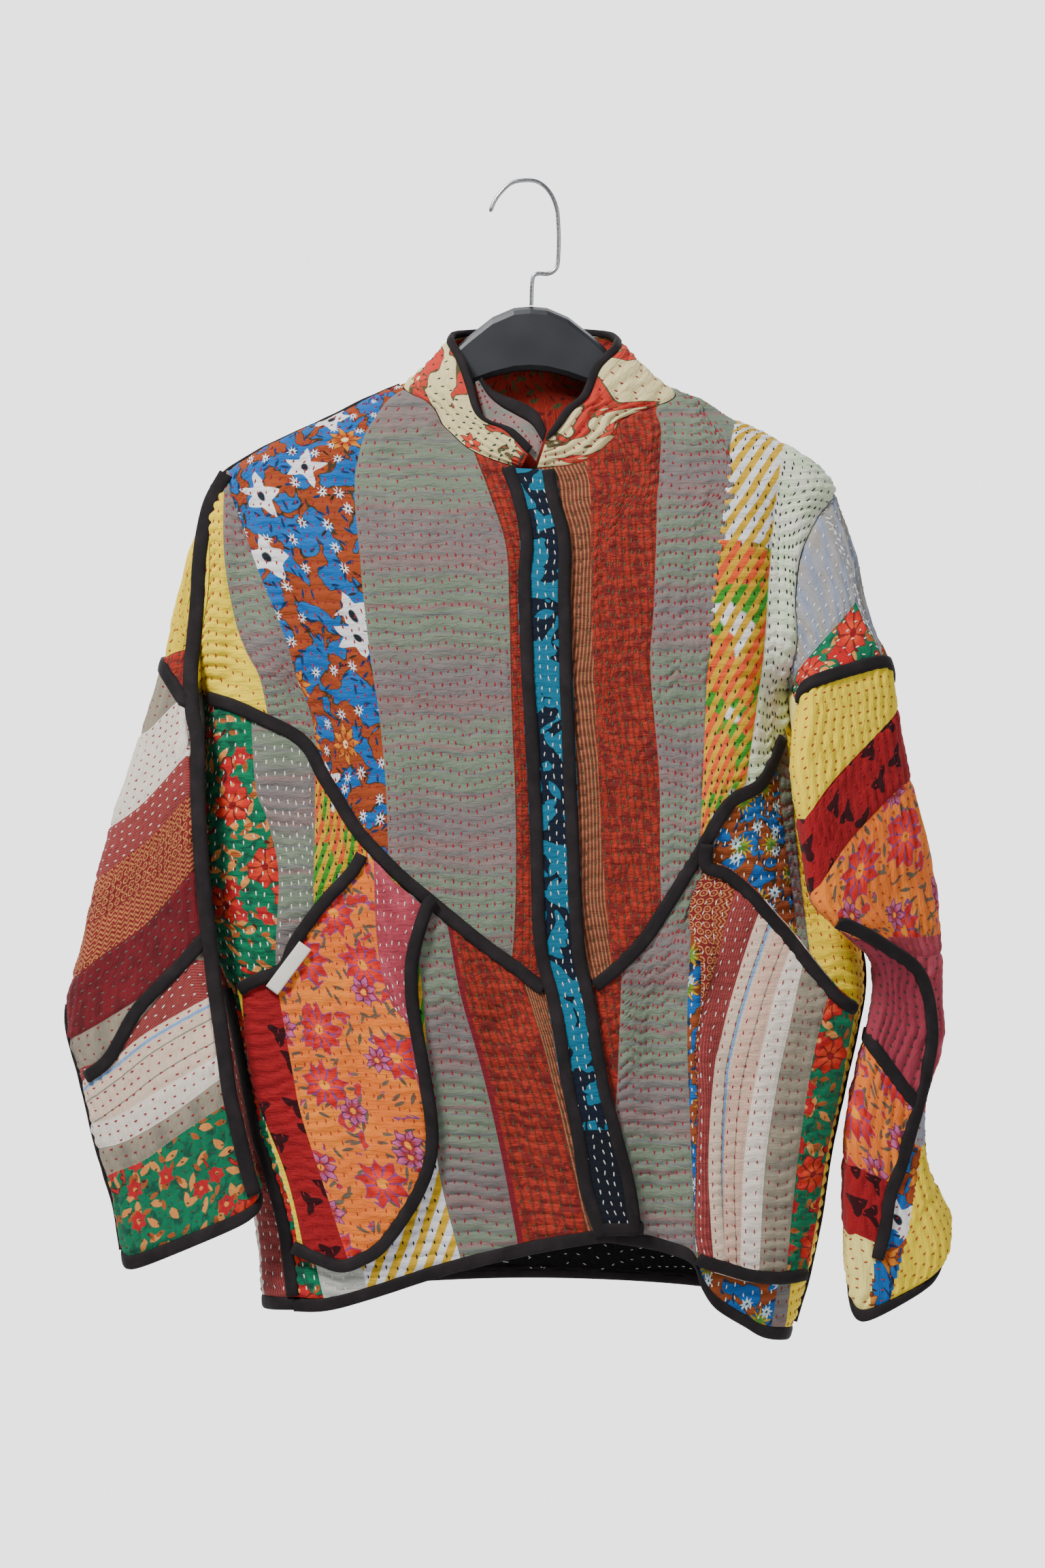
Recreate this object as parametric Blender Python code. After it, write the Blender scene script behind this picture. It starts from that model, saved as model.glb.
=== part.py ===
"""A quilted patchwork jacket hanging on a moulded hanger with a bent wire hook.

World frame: metres, +Z up, the jacket's front faces -Y. The origin is the inside of the hook's crest, where
whatever holds the hanger carries it. Tables are in millimetres. "Right" and "left" are the wearer's, so the
right half lies at -X.

The cloth is drawn on three sleeves of space, each a map from (around, along) to a point: one round the body
and one round each arm. A panel is the stretch of a map between four named edges, given a wall's thickness.
"""

import math
from collections import namedtuple

import bmesh
import bpy
from mathutils import Vector

# Driving sizes, in millimetres
MM = 0.001
WALL = 2.4
SEAM_GAP = 0.3
QUILT_RIDGE = 0.5
TAPE_WIDTH = 9.0
TAPE_THICK = 1.2
TAPE_CHAMFER = 0.4
TAPE_FLAT = 0.8
EDGE_THICK = 4.0
ON_PANEL = WALL / 2 + QUILT_RIDGE + 0.9
SEAM_STAND = ON_PANEL + 0.3
ARM_STAND = ON_PANEL - 0.4
POCKET_STAND = ON_PANEL + 1.8
ON_POCKET = POCKET_STAND + WALL + QUILT_RIDGE + 0.6
EDGE_GAP = 0.3
FRONT_COLUMNS = 11
BACK_COLUMNS = 14
YOKE_ROWS = 16
RIDGE_ROWS = 5
LOWER_ROWS = 22
ARM_COLUMNS_ROUND = 16
CAP_ROWS = 6
SLEEVE_ROWS = 21
COLLAR_END = 0.3
COLLAR_SEAM_GAP = 1.0
COLLAR_TAPE = 5.5
LABEL_WIDTH = 9.0
GIRTH = 900.0
SQUARENESS = 2.2
LINE_STEPS = 12
HANGER_THICK = 12.0
HOOK_WIRE = 2.8
HOOK_STEPS = 30
# The hanger's section: how its top edge thins and its foot is rounded
SHOULDER_SHARE = 0.75
SHOULDER_DROP = 2.4
LIP_DROP = 5.5
FOOT_RISE = 3.0
FOOT_SHARE = 0.5

# The body's rings: heights, both side edges, and how far the front and the back stand from Y = 0
BODY_COLUMNS = ("z", "right_edge", "left_edge", "front", "back")
BODY_RINGS = (
    (-118, -50, 58, -7, 8),
    (-127, -64, 71, -9, 10),
    (-134, -78, 83, -13, 12),
    (-145, -104, 113, -18, 15),
    (-157, -128, 134, -21, 17),
    (-169, -155, 160, -24, 19),
    (-180, -177, 180, -26, 21),
    (-192, -196, 195, -28, 23),
    (-204, -207, 203, -30, 25),
    (-222, -216, 196, -33, 27),
    (-245, -221, 189, -36, 30),
    (-275, -224, 186, -38, 32),
    (-305, -224, 184, -39, 34),
    (-335, -213, 172, -40, 35),
    (-352, -210, 173, -40, 36),
    (-370, -210, 177, -41, 36),
    (-390, -212, 185, -42, 37),
    (-410, -216, 192, -42, 37),
    (-450, -216, 202, -43, 38),
    (-485, -212, 212, -44, 38),
    (-510, -207, 220, -44, 38),
    (-535, -202, 221, -44, 38),
    (-562, -197, 216, -44, 37),
    (-598, -191, 208, -43, 36),
    (-640, -184, 199, -42, 35),
    (-680, -178, 193, -40, 34),
    (-720, -174, 185, -38, 32),
    (-765, -171, 172, -35, 30),
)

# The arms' rings, from the armhole to the cuff: the outer and the inner fold, then the cloth's stand to the
# front and the back of the line between them, and how far each face dips below that line
ARM_COLUMNS = ("x_out", "z_out", "x_in", "z_in", "y_out", "y_in", "front", "back", "dip_front", "dip_back")
RIGHT_ARM_RINGS = (
    (-207, -205, -216, -334, 0, 0, 22, 20, 0, 0),
    (-211, -219, -217, -336, 0, -1, 22, 20, 0, 0),
    (-219, -241, -219, -338, 0, -4, 22, 21, 0, 0),
    (-227, -272, -219, -341, 0, -9, 20, 21, 0, 0),
    (-233, -298, -219, -344, 0, -14, 20, 22, 0, 0),
    (-239, -322, -219, -349, -1, -21, 19, 22, 2, 0),
    (-256, -376, -216, -384, -3, -34, 18, 22, 0, 0),
    (-270, -418, -213, -420, -5, -37, 20, 20, 0, 0),
    (-281, -459, -210, -462, -7, -39, 18, 17, 0, 0),
    (-289, -496, -205, -500, -8, -40, 17, 15, 0, 0),
    (-301, -548, -197, -552, -9, -44, 15, 13, 0, 0),
    (-292, -590, -190, -592, -9, -47, 14, 12, 0, 0),
    (-281, -636, -181, -634, -10, -48, 13, 12, 0, 0),
    (-270, -672, -176, -648, -10, -48, 12, 12, 4, 0),
    (-265, -702, -172.5, -661, -10, -48, 12, 12, 8, 0),
    (-264, -711, -172, -669, -10, -48, 12, 12, 9, 0),
)
LEFT_ARM_RINGS = (
    (202, -205, 174, -334, 0, 0, 22, 20, 0, 0),
    (208, -223, 178, -337.5, 0, -1, 22, 20, 0, 0),
    (216, -247, 178, -339, 0, -5, 22, 21, 0, 0),
    (221, -273, 177, -341, 0, -12, 22, 22, -3, 0),
    (229, -302, 178, -344, -2, -20, 22, 22, -9, 0),
    (240, -333, 178, -350, -4, -31, 21, 22, -14, 0),
    (250, -387, 173, -388, -6, -49, 19, 18, 0, 0),
    (264, -440, 179, -440, -8, -56, 18, 14, 0, 0),
    (269, -472, 184, -471, -9, -60, 16, 12, 0, 0),
    (270, -486, 197, -486, -9, -58, 15, 12, 0, 0),
    (271, -499, 213, -499, -9, -48, 15, 13, 0, 0),
    (272, -514, 226, -513, -9, -36, 15, 14, 0, 0),
    (273, -543, 228, -540, -9, -24, 16, 15, 0, 0),
    (272, -572, 222, -570, -8, -18, 17, 16, 0, 0),
    (262, -606, 214, -606, -6, -14, 18, 16, 0, 0),
    (263, -646, 210, -646, 0, -12, 18, 17, 6, 0),
    (280, -682, 211, -700, 6, -12, 19, 18, 18, 4),
    (278, -690, 212.5, -718, 8, -12, 19, 18, 26, 4),
    (272, -698, 213, -727, 8, -12, 19, 18, 28, 4),
)
CUFF_RIGHT = len(RIGHT_ARM_RINGS) - 1
CUFF_LEFT = len(LEFT_ARM_RINGS) - 1
ARM_SEAM = 4.9
# Where the sleeve caps start, and where the cuffs do before their last ring, at -X and at +X
CAP_START = {-1: 0.8, 1: 0.68}
CUFF_SHARE = {-1: 0.98, 1: 0.84}
ARMHOLE_TOP = -205.0
ARMHOLE_FOOT = -334.0
# How far round from each side fold the armhole reaches, at -X and at +X, as a share of half a turn
ARMHOLE_REACH = {-1: 0.13, 1: 0.10}
ARM_BLEND = 2.6

# Soft folds on the body's front: a line from one point to another, its half width, and how far it moves the
# cloth, plus for a trough and minus for a ridge
Fold = namedtuple("Fold", ("x0", "z0", "x1", "z1", "half_width", "depth"))
FRONT_FOLDS = (
    Fold(-178, -200, -192, -330, 12, 6),
    Fold(166, -215, 158, -330, 12, 8),
    Fold(176, -350, 190, -480, 22, 17),
    Fold(150, -330, 120, -425, 16, -5),
    Fold(-150, -340, -110, -430, 18, 4),
    Fold(-70, -500, -95, -720, 26, -5),
    Fold(107, -510, 114, -735, 17, -10),
    Fold(86, -540, 90, -700, 17, 6),
    Fold(150, -560, 150, -740, 26, -5),
    Fold(20, -560, 55, -690, 22, -4),
    Fold(-20, -560, 5, -690, 18, 5),
)

# Edges seen from the front, as (x, z)
NECK_RIGHT = ((-76.5, -133), (-67.5, -146), (-53, -165), (-36, -180), (-14, -189))
NECK_LEFT = ((83, -135), (71.5, -155), (57.6, -172), (43, -185), (28.8, -190), (19, -191))
YOKE_RIGHT = ((-219.5, -338), (-206, -341), (-176, -353), (-145, -371), (-130, -396), (-109, -428),
              (-84, -455), (-40, -492), (12, -531))
YOKE_LEFT = ((179, -352), (167, -368), (153, -397), (131, -411), (111, -445), (94, -473), (77, -498),
             (61, -515), (44.6, -529))
BAND_RIGHT = ((-16, -192), (-9, -212), (-4, -241), (-5, -284), (2, -420), (5, -501), (14, -539), (22, -586),
              (30, -626), (35, -659), (45, -690))
BAND_LEFT = ((19, -194), (22, -212), (29, -241), (29, -284), (34, -420), (38, -501), (45, -539), (52, -586),
             (62, -626), (70, -659), (74, -690))
SIDE_RIGHT = ((-194, -531), (-176, -620), (-169, -643), (-161, -670), (-156, -691), (-153, -715),
              (-151, -741))
HEM_RIGHT = ((-151, -742), (-121, -739), (-44, -715), (-1, -705), (45, -696), (59, -696))
HEM_LEFT = ((59, -696), (74, -699), (90, -703), (108, -709), (114, -725), (124, -739),
            (142, -751), (158, -760), (171, -764))
POCKET_RIGHT_TOP = ((-186, -529), (-173, -523), (-155, -514), (-147, -496), (-127, -469), (-104, -446),
                    (-84, -462), (-62, -482))
POCKET_RIGHT_SIDE = ((-62, -482), (-70, -510), (-71, -531), (-69, -553), (-63, -590), (-59, -616),
                     (-60, -642), (-70, -668))
POCKET_RIGHT_FOOT = ((-147, -701), (-140, -704), (-130, -708), (-116, -712), (-104, -708), (-90, -698),
                     (-70, -668))
POCKET_RIGHT_SEAM = ((-186, -529), (-169, -612), (-159, -648), (-151, -675), (-147, -701))
POCKET_LEFT_TOP = ((120, -447), (133, -453), (148, -466), (162, -483), (176, -500), (192, -519), (203, -532),
                   (213, -540))
POCKET_LEFT_SIDE = ((120, -447), (107, -472), (106, -492), (111, -510), (112, -555), (111, -626),
                    (111, -690), (116, -712))
POCKET_RIGHT_MOUTH = ((-183, -531), (-174, -525), (-157, -517), (-149, -500), (-130, -474), (-112, -455))
POCKET_LABEL = ((-163, -531), (-153, -517), (-142, -502))
SLEEVE_SEAM_RIGHT = ((-286, -589), (-271, -576), (-255, -549), (-240, -532), (-218, -510))
SLEEVE_SEAM_LEFT = ((200, -486), (215, -493), (234, -504), (252, -517), (261, -534), (265, -560),
                    (262, -583), (256, -608), (245, -647), (238, -667), (234, -690), (229, -708))
BACK_NECK = ((0.62, -129), (0.8, -124), (1.0, -122.5), (1.2, -124), (1.38, -129))
BACK_HEM = ((0.6, -741), (0.75, -727), (1.0, -720), (1.25, -726), (1.45, -734))
POCKET_LEFT_FOOT = ((116, -712), (138, -719), (160, -722), (180, -720))
POCKET_LEFT_SEAM = ((213, -540), (209, -560), (202, -598), (193, -640), (187, -680), (180, -720))

# The collar's upper edge in three runs, as (x, y, z): from the right end, round the back, to the left end
COLLAR_TOP_RIGHT = ((5, -33, -179), (-8.5, -31, -166), (-27, -29, -158), (-34, -24, -137), (-40, -17, -119),
                    (-48, -6, -104))
COLLAR_TOP_BACK = ((-48, -6, -104), (-46, 5, -98), (-30, 14, -95), (4, 17, -94), (38, 14, -95), (54, 5, -98),
                   (59, -6, -103))
COLLAR_TOP_LEFT = ((59, -6, -103), (56, -19, -111), (44, -25, -124), (36, -29, -143), (25, -31, -153),
                   (14, -32, -170))

# The hook's bent wire, as (x, z)
HOOK = ((3.6, -81.5), (4.2, -66), (6.6, -60.6), (15.5, -60.3), (20.5, -56), (21.6, -46), (21.6, -30),
        (20.3, -17), (15.8, -6.6), (8.5, 0), (0, 1.4), (-9.5, -0.4), (-16.7, -6.8), (-21, -13), (-23.6, -19.5))

# The hanger's upper and lower edges, as (x, top, foot)
HANGER = (
    (-186, -189.2, -199),
    (-165, -176.4, -196),
    (-128, -159.6, -186),
    (-96, -144.2, -172),
    (-76, -136.2, -160),
    (-62, -126, -150),
    (-44, -107, -138),
    (-36, -100, -133.5),
    (-22, -89, -128.5),
    (-8, -83, -125),
    (3, -82, -124.2),
    (14, -83, -125),
    (28, -89, -128.5),
    (42, -100, -133.5),
    (50, -107, -138),
    (67, -125, -150),
    (83, -141, -160),
    (104, -149, -172),
    (132, -158.6, -186),
    (163, -174, -196),
    (186, -188.4, -199),
)

BINDING = (0.012, 0.010, 0.010)
GREY_CLOTH = (0.32, 0.36, 0.28)


def clear_scene():
    """Remove whatever the file opened with."""
    for item in list(bpy.data.objects):
        bpy.data.objects.remove(item, do_unlink=True)


def column(rows, names, name, at, keys):
    """Read one column of a table between its rows, on a smooth curve."""
    k = names.index(name)
    last = len(rows) - 1
    i = 0
    while i < last - 1 and (keys[i + 1] - at) * (keys[-1] - keys[0]) < 0:
        i += 1
    span = keys[i + 1] - keys[i]
    t = (at - keys[i]) / span

    def slope(j):
        """Tangent at row j, per unit of key."""
        low, high = max(j - 1, 0), min(j + 1, last)
        return (rows[high][k] - rows[low][k]) / (keys[high] - keys[low])

    p0, p1 = rows[i][k], rows[i + 1][k]
    m0, m1 = slope(i) * span, slope(i + 1) * span
    if t < 0 or t > 1:
        return p0 + (p1 - p0) * t
    return ((2 * t**3 - 3 * t**2 + 1) * p0 + (t**3 - 2 * t**2 + t) * m0
            + (3 * t**2 - 2 * t**3) * p1 + (t**3 - t**2) * m1)


BODY_KEYS = tuple(row[0] for row in BODY_RINGS)


def body_size(name, z):
    """One of the body's columns at a height."""
    return column(BODY_RINGS, BODY_COLUMNS, name, z, BODY_KEYS)


def squared(c):
    """The flattened cosine that gives each ring its flat faces and round folds."""
    return math.tanh(SQUARENESS * c) / math.tanh(SQUARENESS)


def fold_depth(x, z):
    """How far the front's soft folds move the cloth at (x, z)."""
    total = 0.0
    for fold in FRONT_FOLDS:
        dx, dz = fold.x1 - fold.x0, fold.z1 - fold.z0
        t = ((x - fold.x0) * dx + (z - fold.z0) * dz) / (dx * dx + dz * dz)
        held = min(max(t, 0.0), 1.0)
        away = math.hypot(x - fold.x0 - held * dx, z - fold.z0 - held * dz)
        total += fold.depth * math.exp(-((away / fold.half_width) ** 2))
    return total


def body(a, z):
    """The body's middle surface: a is 0 at the centre front, 0.5 at +X, 1 at the centre back."""
    right, left = body_size("right_edge", z), body_size("left_edge", z)
    s, c = math.sin(math.pi * a), math.cos(math.pi * a)
    x = (right + left) / 2 + (left - right) / 2 * s
    k = squared(abs(c))
    if c >= 0:
        return Vector((x, k * (body_size("front", z) + fold_depth(x, z)), z))
    return Vector((x, k * body_size("back", z), z))


def on_front(x, z):
    """The body map's (a, z) of a point seen from the front."""
    right, left = body_size("right_edge", z), body_size("left_edge", z)
    s = (x - (right + left) / 2) / ((left - right) / 2)
    return (math.asin(min(max(s, -1.0), 1.0)) / math.pi, z)


def arm(rings, side):
    """Give an arm's map: phi is -0.5 on the outer fold, 0 in front, 0.5 on the inner fold."""
    keys = tuple(range(len(rings)))

    def point(phi, s):
        """The arm's middle surface."""
        size = {name: column(rings, ARM_COLUMNS, name, s, keys) for name in ARM_COLUMNS}
        t, c = math.sin(math.pi * phi), math.cos(math.pi * phi)
        half = (t + 1) / 2
        k = squared(abs(c))
        stand, dip = (-size["front"], size["dip_front"]) if c >= 0 else (size["back"], size["dip_back"])
        ring = Vector((
            size["x_out"] + (size["x_in"] - size["x_out"]) * half,
            size["y_out"] + (size["y_in"] - size["y_out"]) * half + stand * k,
            size["z_out"] + (size["z_in"] - size["z_out"]) * half - dip * k,
        ))
        if s >= ARM_BLEND:
            return ring
        middle, reach = (ARMHOLE_TOP + ARMHOLE_FOOT) / 2, (ARMHOLE_TOP - ARMHOLE_FOOT) / 2
        hole = body(side * (0.5 - ARMHOLE_REACH[side] * c), middle - reach * t)
        f = s / ARM_BLEND
        f = f * (2 - f)
        return hole.lerp(ring, f)

    return point


right_arm = arm(RIGHT_ARM_RINGS, -1)
left_arm = arm(LEFT_ARM_RINGS, 1)


def on_arm(point, x, z, guess):
    """The (phi, s) of a place on an arm's front, found by stepping towards it."""
    phi, s = guess
    step = 0.01
    for _ in range(30):
        here = point(phi, s)
        du = (point(phi + step, s) - here) / step
        dv = (point(phi, s + step) - here) / step
        ex, ez = x - here.x, z - here.z
        det = du.x * dv.z - du.z * dv.x
        phi += max(min((ex * dv.z - ez * dv.x) / det, 0.06), -0.06)
        s += max(min((du.x * ez - du.z * ex) / det, 0.5), -0.5)
        phi = max(min(phi, 0.49), -0.49)
    return (phi, s)


def smooth_line(points, count):
    """Points at even steps along a smooth curve through the given ones."""
    fine = []
    last = len(points) - 1
    for i in range(last):
        p0, p1 = points[max(i - 1, 0)], points[i]
        p2, p3 = points[i + 1], points[min(i + 2, last)]
        for step in range(LINE_STEPS):
            t = step / LINE_STEPS
            fine.append(tuple(
                0.5 * (2 * b + (c - a) * t + (2 * a - 5 * b + 4 * c - d) * t**2
                       + (3 * b - a - 3 * c + d) * t**3)
                for a, b, c, d in zip(p0, p1, p2, p3)))
    fine.append(tuple(points[-1]))
    run = [0.0]
    for p, q in zip(fine, fine[1:]):
        run.append(run[-1] + math.dist(p, q))
    line = []
    i = 0
    for n in range(count + 1):
        goal = run[-1] * n / count
        while i < len(run) - 2 and run[i + 1] < goal:
            i += 1
        t = (goal - run[i]) / ((run[i + 1] - run[i]) or 1.0)
        line.append(tuple(p + (q - p) * t for p, q in zip(fine[i], fine[i + 1])))
    return line


def patch(top, foot, start, end):
    """Fill four edges that share their corners with a grid, rows from top to foot."""
    rows, cols = len(start) - 1, len(top) - 1
    grid = []
    for j in range(rows + 1):
        v = j / rows
        line = []
        for i in range(cols + 1):
            u = i / cols
            line.append(tuple(
                (1 - v) * top[i][k] + v * foot[i][k] + (1 - u) * start[j][k] + u * end[j][k]
                - (1 - u) * (1 - v) * top[0][k] - u * (1 - v) * top[-1][k]
                - (1 - u) * v * foot[0][k] - u * v * foot[-1][k]
                for k in (0, 1)))
        grid.append(line)
    return grid


def normal_at(surface, u, v, outward):
    """The surface's outward direction at (u, v)."""
    du, dv = 1e-4, 1e-2
    along = surface(u + du, v) - surface(u - du, v)
    down = surface(u, v + dv) - surface(u, v - dv)
    return along.cross(down).normalized() * outward


def make_object(name, verts, faces, colour, roughness=0.85, metallic=0.0, smooth=40):
    """Build a closed mesh object in millimetres with its own material."""
    mesh = bpy.data.meshes.new(name)
    mesh.from_pydata([v * MM for v in verts], [], faces)
    bm = bmesh.new()
    bm.from_mesh(mesh)
    bmesh.ops.recalc_face_normals(bm, faces=bm.faces)
    bm.to_mesh(mesh)
    bm.free()
    mesh.shade_smooth()
    mesh.set_sharp_from_angle(angle=math.radians(smooth))
    item = bpy.data.objects.new(name, mesh)
    bpy.context.scene.collection.objects.link(item)
    item.data.materials.append(make_material(name, colour, roughness, metallic))
    return item


def make_material(name, colour, roughness, metallic):
    """A plain Principled material."""
    material = bpy.data.materials.new(name)
    material.use_nodes = True
    shader = material.node_tree.nodes["Principled BSDF"]
    shader.inputs["Base Color"].default_value = (*colour, 1.0)
    shader.inputs["Roughness"].default_value = roughness
    shader.inputs["Metallic"].default_value = metallic
    return material


def wall(name, surface, grid, outward, colour, low=-WALL / 2, high=WALL / 2, ridge=QUILT_RIDGE, closed=False,
         gap=SEAM_GAP / 2):
    """Give a grid of map places a wall from low to high along the surface's outward direction."""
    rows, cols = len(grid), len(grid[0])
    points = [[surface(u, v) for u, v in line] for line in grid]
    normals = [[normal_at(surface, u, v, outward) for u, v in line] for line in grid]
    pulled = [[p.copy() for p in line] for line in points]
    for i in range(cols):
        pulled[0][i] += (points[1][i] - points[0][i]).normalized() * gap
        pulled[-1][i] += (points[-2][i] - points[-1][i]).normalized() * gap
    if not closed:
        for j in range(rows):
            pulled[j][0] += (points[j][1] - points[j][0]).normalized() * gap
            pulled[j][-1] += (points[j][-2] - points[j][-1]).normalized() * gap
    outer, inner = [], []
    for j in range(rows):
        for i in range(cols):
            inside = 0 < j < rows - 1 and (closed or 0 < i < cols - 1)
            lift = ridge * (1 if j % 2 else -1) if inside else 0.0
            outer.append(pulled[j][i] + normals[j][i] * (high + lift))
            inner.append(pulled[j][i] + normals[j][i] * low)
    shift = rows * cols
    faces = []
    around = cols if closed else cols - 1
    for j in range(rows - 1):
        for i in range(around):
            n = (i + 1) % cols
            a, b, c, d = j * cols + i, j * cols + n, (j + 1) * cols + n, (j + 1) * cols + i
            faces.append((a, b, c, d))
            faces.append((shift + a, shift + d, shift + c, shift + b))
    for i in range(around):
        n = (i + 1) % cols
        faces.append((i, shift + i, shift + n, n))
        a, b = (rows - 1) * cols + i, (rows - 1) * cols + n
        faces.append((a, b, shift + b, shift + a))
    if not closed:
        for j in range(rows - 1):
            a, b = j * cols, (j + 1) * cols
            faces.append((a, b, shift + b, shift + a))
            a, b = j * cols + cols - 1, (j + 1) * cols + cols - 1
            faces.append((a, shift + a, shift + b, b))
    return make_object(name, outer + inner, faces, colour)


def panel(name, top, foot, start, end, cols, rows, colour, **how):
    """A body panel between four edges given as seen from the front."""
    edges = []
    for points, count in ((top, cols), (foot, cols), (start, rows), (end, rows)):
        edges.append([on_front(*p) for p in smooth_line(points, count)])
    return wall(name, body, patch(*edges), 1, colour, **how)


def ribbon(name, surface, line, outward, width, low, high, colour=BINDING):
    """A flat tape along a line of map places, lying from low to high off the middle surface."""
    places = []
    count = len(line)
    for j, (u, v) in enumerate(line):
        before, after = line[max(j - 1, 0)], line[min(j + 1, count - 1)]
        along = (surface(*after) - surface(*before)).normalized()
        normal = normal_at(surface, u, v, outward)
        across = normal.cross(along).normalized()
        here = surface(u, v)
        places.append((here, normal, across))
    profile = ((-1, low), (1, low), (1, high - TAPE_CHAMFER), (TAPE_FLAT, high), (-TAPE_FLAT, high),
               (-1, high - TAPE_CHAMFER))
    sides = len(profile)
    verts, faces = [], []
    for here, normal, across in places:
        for side, height in profile:
            verts.append(here + across * side * width / 2 + normal * height)
    for j in range(count - 1):
        for k in range(sides):
            n = (k + 1) % sides
            faces.append((sides * j + k, sides * j + n, sides * (j + 1) + n, sides * (j + 1) + k))
    faces.append(tuple(reversed(range(sides))))
    faces.append(tuple(sides * (count - 1) + k for k in range(sides)))
    return make_object(name, verts, faces, colour)


def tape_on_front(name, points, low=ON_PANEL, width=TAPE_WIDTH, step=14.0, thick=TAPE_THICK):
    """A binding tape over a seam of the body's front."""
    length = sum(math.dist(p, q) for p, q in zip(points, points[1:]))
    line = [on_front(x, z) for x, z in smooth_line(points, max(int(length / step), 3))]
    return ribbon(name, body, line, 1, width, low, low + thick)


def tape_on_arm(name, surface, outward, line, low=ARM_STAND):
    """A binding tape along places of an arm's map."""
    return ribbon(name, surface, line, outward, TAPE_WIDTH, low, low + TAPE_THICK)


def bound_edge(name, surface, cloth, rim, outward=1, closed=False):
    """A bound edge: a strip thicker than the wall, from where the cloth stops to the rim."""
    half = EDGE_THICK / 2
    return wall(name, surface, [cloth, rim], outward, BINDING, low=-half, high=half, ridge=0.0,
                closed=closed, gap=EDGE_GAP)


def shifted(points, dx, dz):
    """The same edge moved by (dx, dz)."""
    return tuple((x + dx, z + dz) for x, z in points)


def even_line(places, count):
    """Even steps along map places, with a full turn counted as the body's girth."""
    stretched = [(a * GIRTH, z) for a, z in places]
    return [(a / GIRTH, z) for a, z in smooth_line(stretched, count)]


def armhole_side(side, top, foot):
    """Down a front's edge in map places: the shoulder ridge, the armhole's front half, the side fold."""
    middle, reach = (ARMHOLE_TOP + ARMHOLE_FOOT) / 2, (ARMHOLE_TOP - ARMHOLE_FOOT) / 2
    ridge = [(side * 0.5, top + (ARMHOLE_TOP - top) * n / RIDGE_ROWS) for n in range(RIDGE_ROWS)]
    hole_rows = YOKE_ROWS - RIDGE_ROWS - 1
    hole = []
    for n in range(hole_rows + 1):
        turn = math.pi * (n / hole_rows - 0.5)
        hole.append((side * (0.5 - ARMHOLE_REACH[side] * math.cos(turn)), middle - reach * math.sin(turn)))
    return ridge + hole + [(side * 0.5, foot)]


class Seams:
    """The lines that neighbouring body panels share, as map places at the same steps on both sides."""

    def __init__(self):
        middle = [((p[0] + q[0]) / 2, (p[1] + q[1]) / 2) for p, q in zip(BAND_RIGHT, BAND_LEFT)]
        meet = next(n for n, p in enumerate(middle) if p[1] < YOKE_RIGHT[-1][1])
        neck_end, yoke_end = middle[0], middle[meet]
        middle[-1] = HEM_RIGHT[-1]
        upper = [on_front(*p) for p in middle[:meet + 1]]
        lower = [on_front(*p) for p in middle[meet:]]
        lower[-1] = on_front(HEM_RIGHT[-1][0], HEM_RIGHT[-1][1] + TAPE_WIDTH)
        self.front_upper = even_line(upper, YOKE_ROWS)
        self.front_lower = even_line(lower, LOWER_ROWS)
        ridge_right = [(-0.5, NECK_RIGHT[0][1])] + [on_front(*p) for p in NECK_RIGHT[1:] + (neck_end,)]
        ridge_left = [on_front(*p) for p in (neck_end,) + tuple(reversed(NECK_LEFT[1:]))]
        ridge_left.append((0.5, NECK_LEFT[0][1]))
        self.neck_right = even_line(ridge_right, FRONT_COLUMNS)
        self.neck_left = even_line(ridge_left, FRONT_COLUMNS)
        foot_right, foot_left = YOKE_RIGHT[0][1], YOKE_LEFT[0][1]
        self.side_right = armhole_side(-1, NECK_RIGHT[0][1], foot_right)
        self.side_left = armhole_side(1, NECK_LEFT[0][1], foot_left)
        right = [(-0.5, foot_right)] + [on_front(*p) for p in YOKE_RIGHT[1:] + (yoke_end,)]
        left = [on_front(*p) for p in (yoke_end,) + tuple(reversed(YOKE_LEFT[1:]))] + [(0.5, foot_left)]
        self.yoke_right = even_line(right, FRONT_COLUMNS)
        self.yoke_left = even_line(left, FRONT_COLUMNS)
        down = [(-0.5, z) for z in (foot_right, -400, -470)] + [on_front(*p) for p in SIDE_RIGHT[:-1]]
        corner_x, corner_z = SIDE_RIGHT[-1]
        self.flank_right = even_line(down + [on_front(corner_x, corner_z + TAPE_WIDTH)], LOWER_ROWS)
        last = HEM_LEFT[-1][1] + TAPE_WIDTH
        down = [(0.5, z) for z in (foot_left, -420, -500, -600, -700, last)]
        self.flank_left = even_line(down, LOWER_ROWS)
        hem = [on_front(*p) for p in HEM_RIGHT]
        self.rim_right = even_line(hem, FRONT_COLUMNS)
        self.cloth_right = even_line([on_front(x, z + TAPE_WIDTH) for x, z in HEM_RIGHT], FRONT_COLUMNS)
        hem = [on_front(*p) for p in HEM_LEFT[:-1]] + [(0.5, HEM_LEFT[-1][1])]
        self.rim_left = even_line(hem, FRONT_COLUMNS)
        cloth = [on_front(x, z + TAPE_WIDTH) for x, z in HEM_LEFT[:-1]] + [(0.5, last)]
        self.cloth_left = even_line(cloth, FRONT_COLUMNS)
        corner = self.flank_right[-1]
        neck = [(0.5, NECK_LEFT[0][1])] + list(BACK_NECK) + [(1.5, NECK_RIGHT[0][1])]
        self.back_neck = even_line(neck, BACK_COLUMNS)
        cloth = [(0.5, last)] + list(BACK_HEM) + [(2 + corner[0], corner[1])]
        self.back_cloth = even_line(cloth, BACK_COLUMNS)
        self.back_rim = [(a, z - TAPE_WIDTH) for a, z in self.back_cloth]


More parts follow.
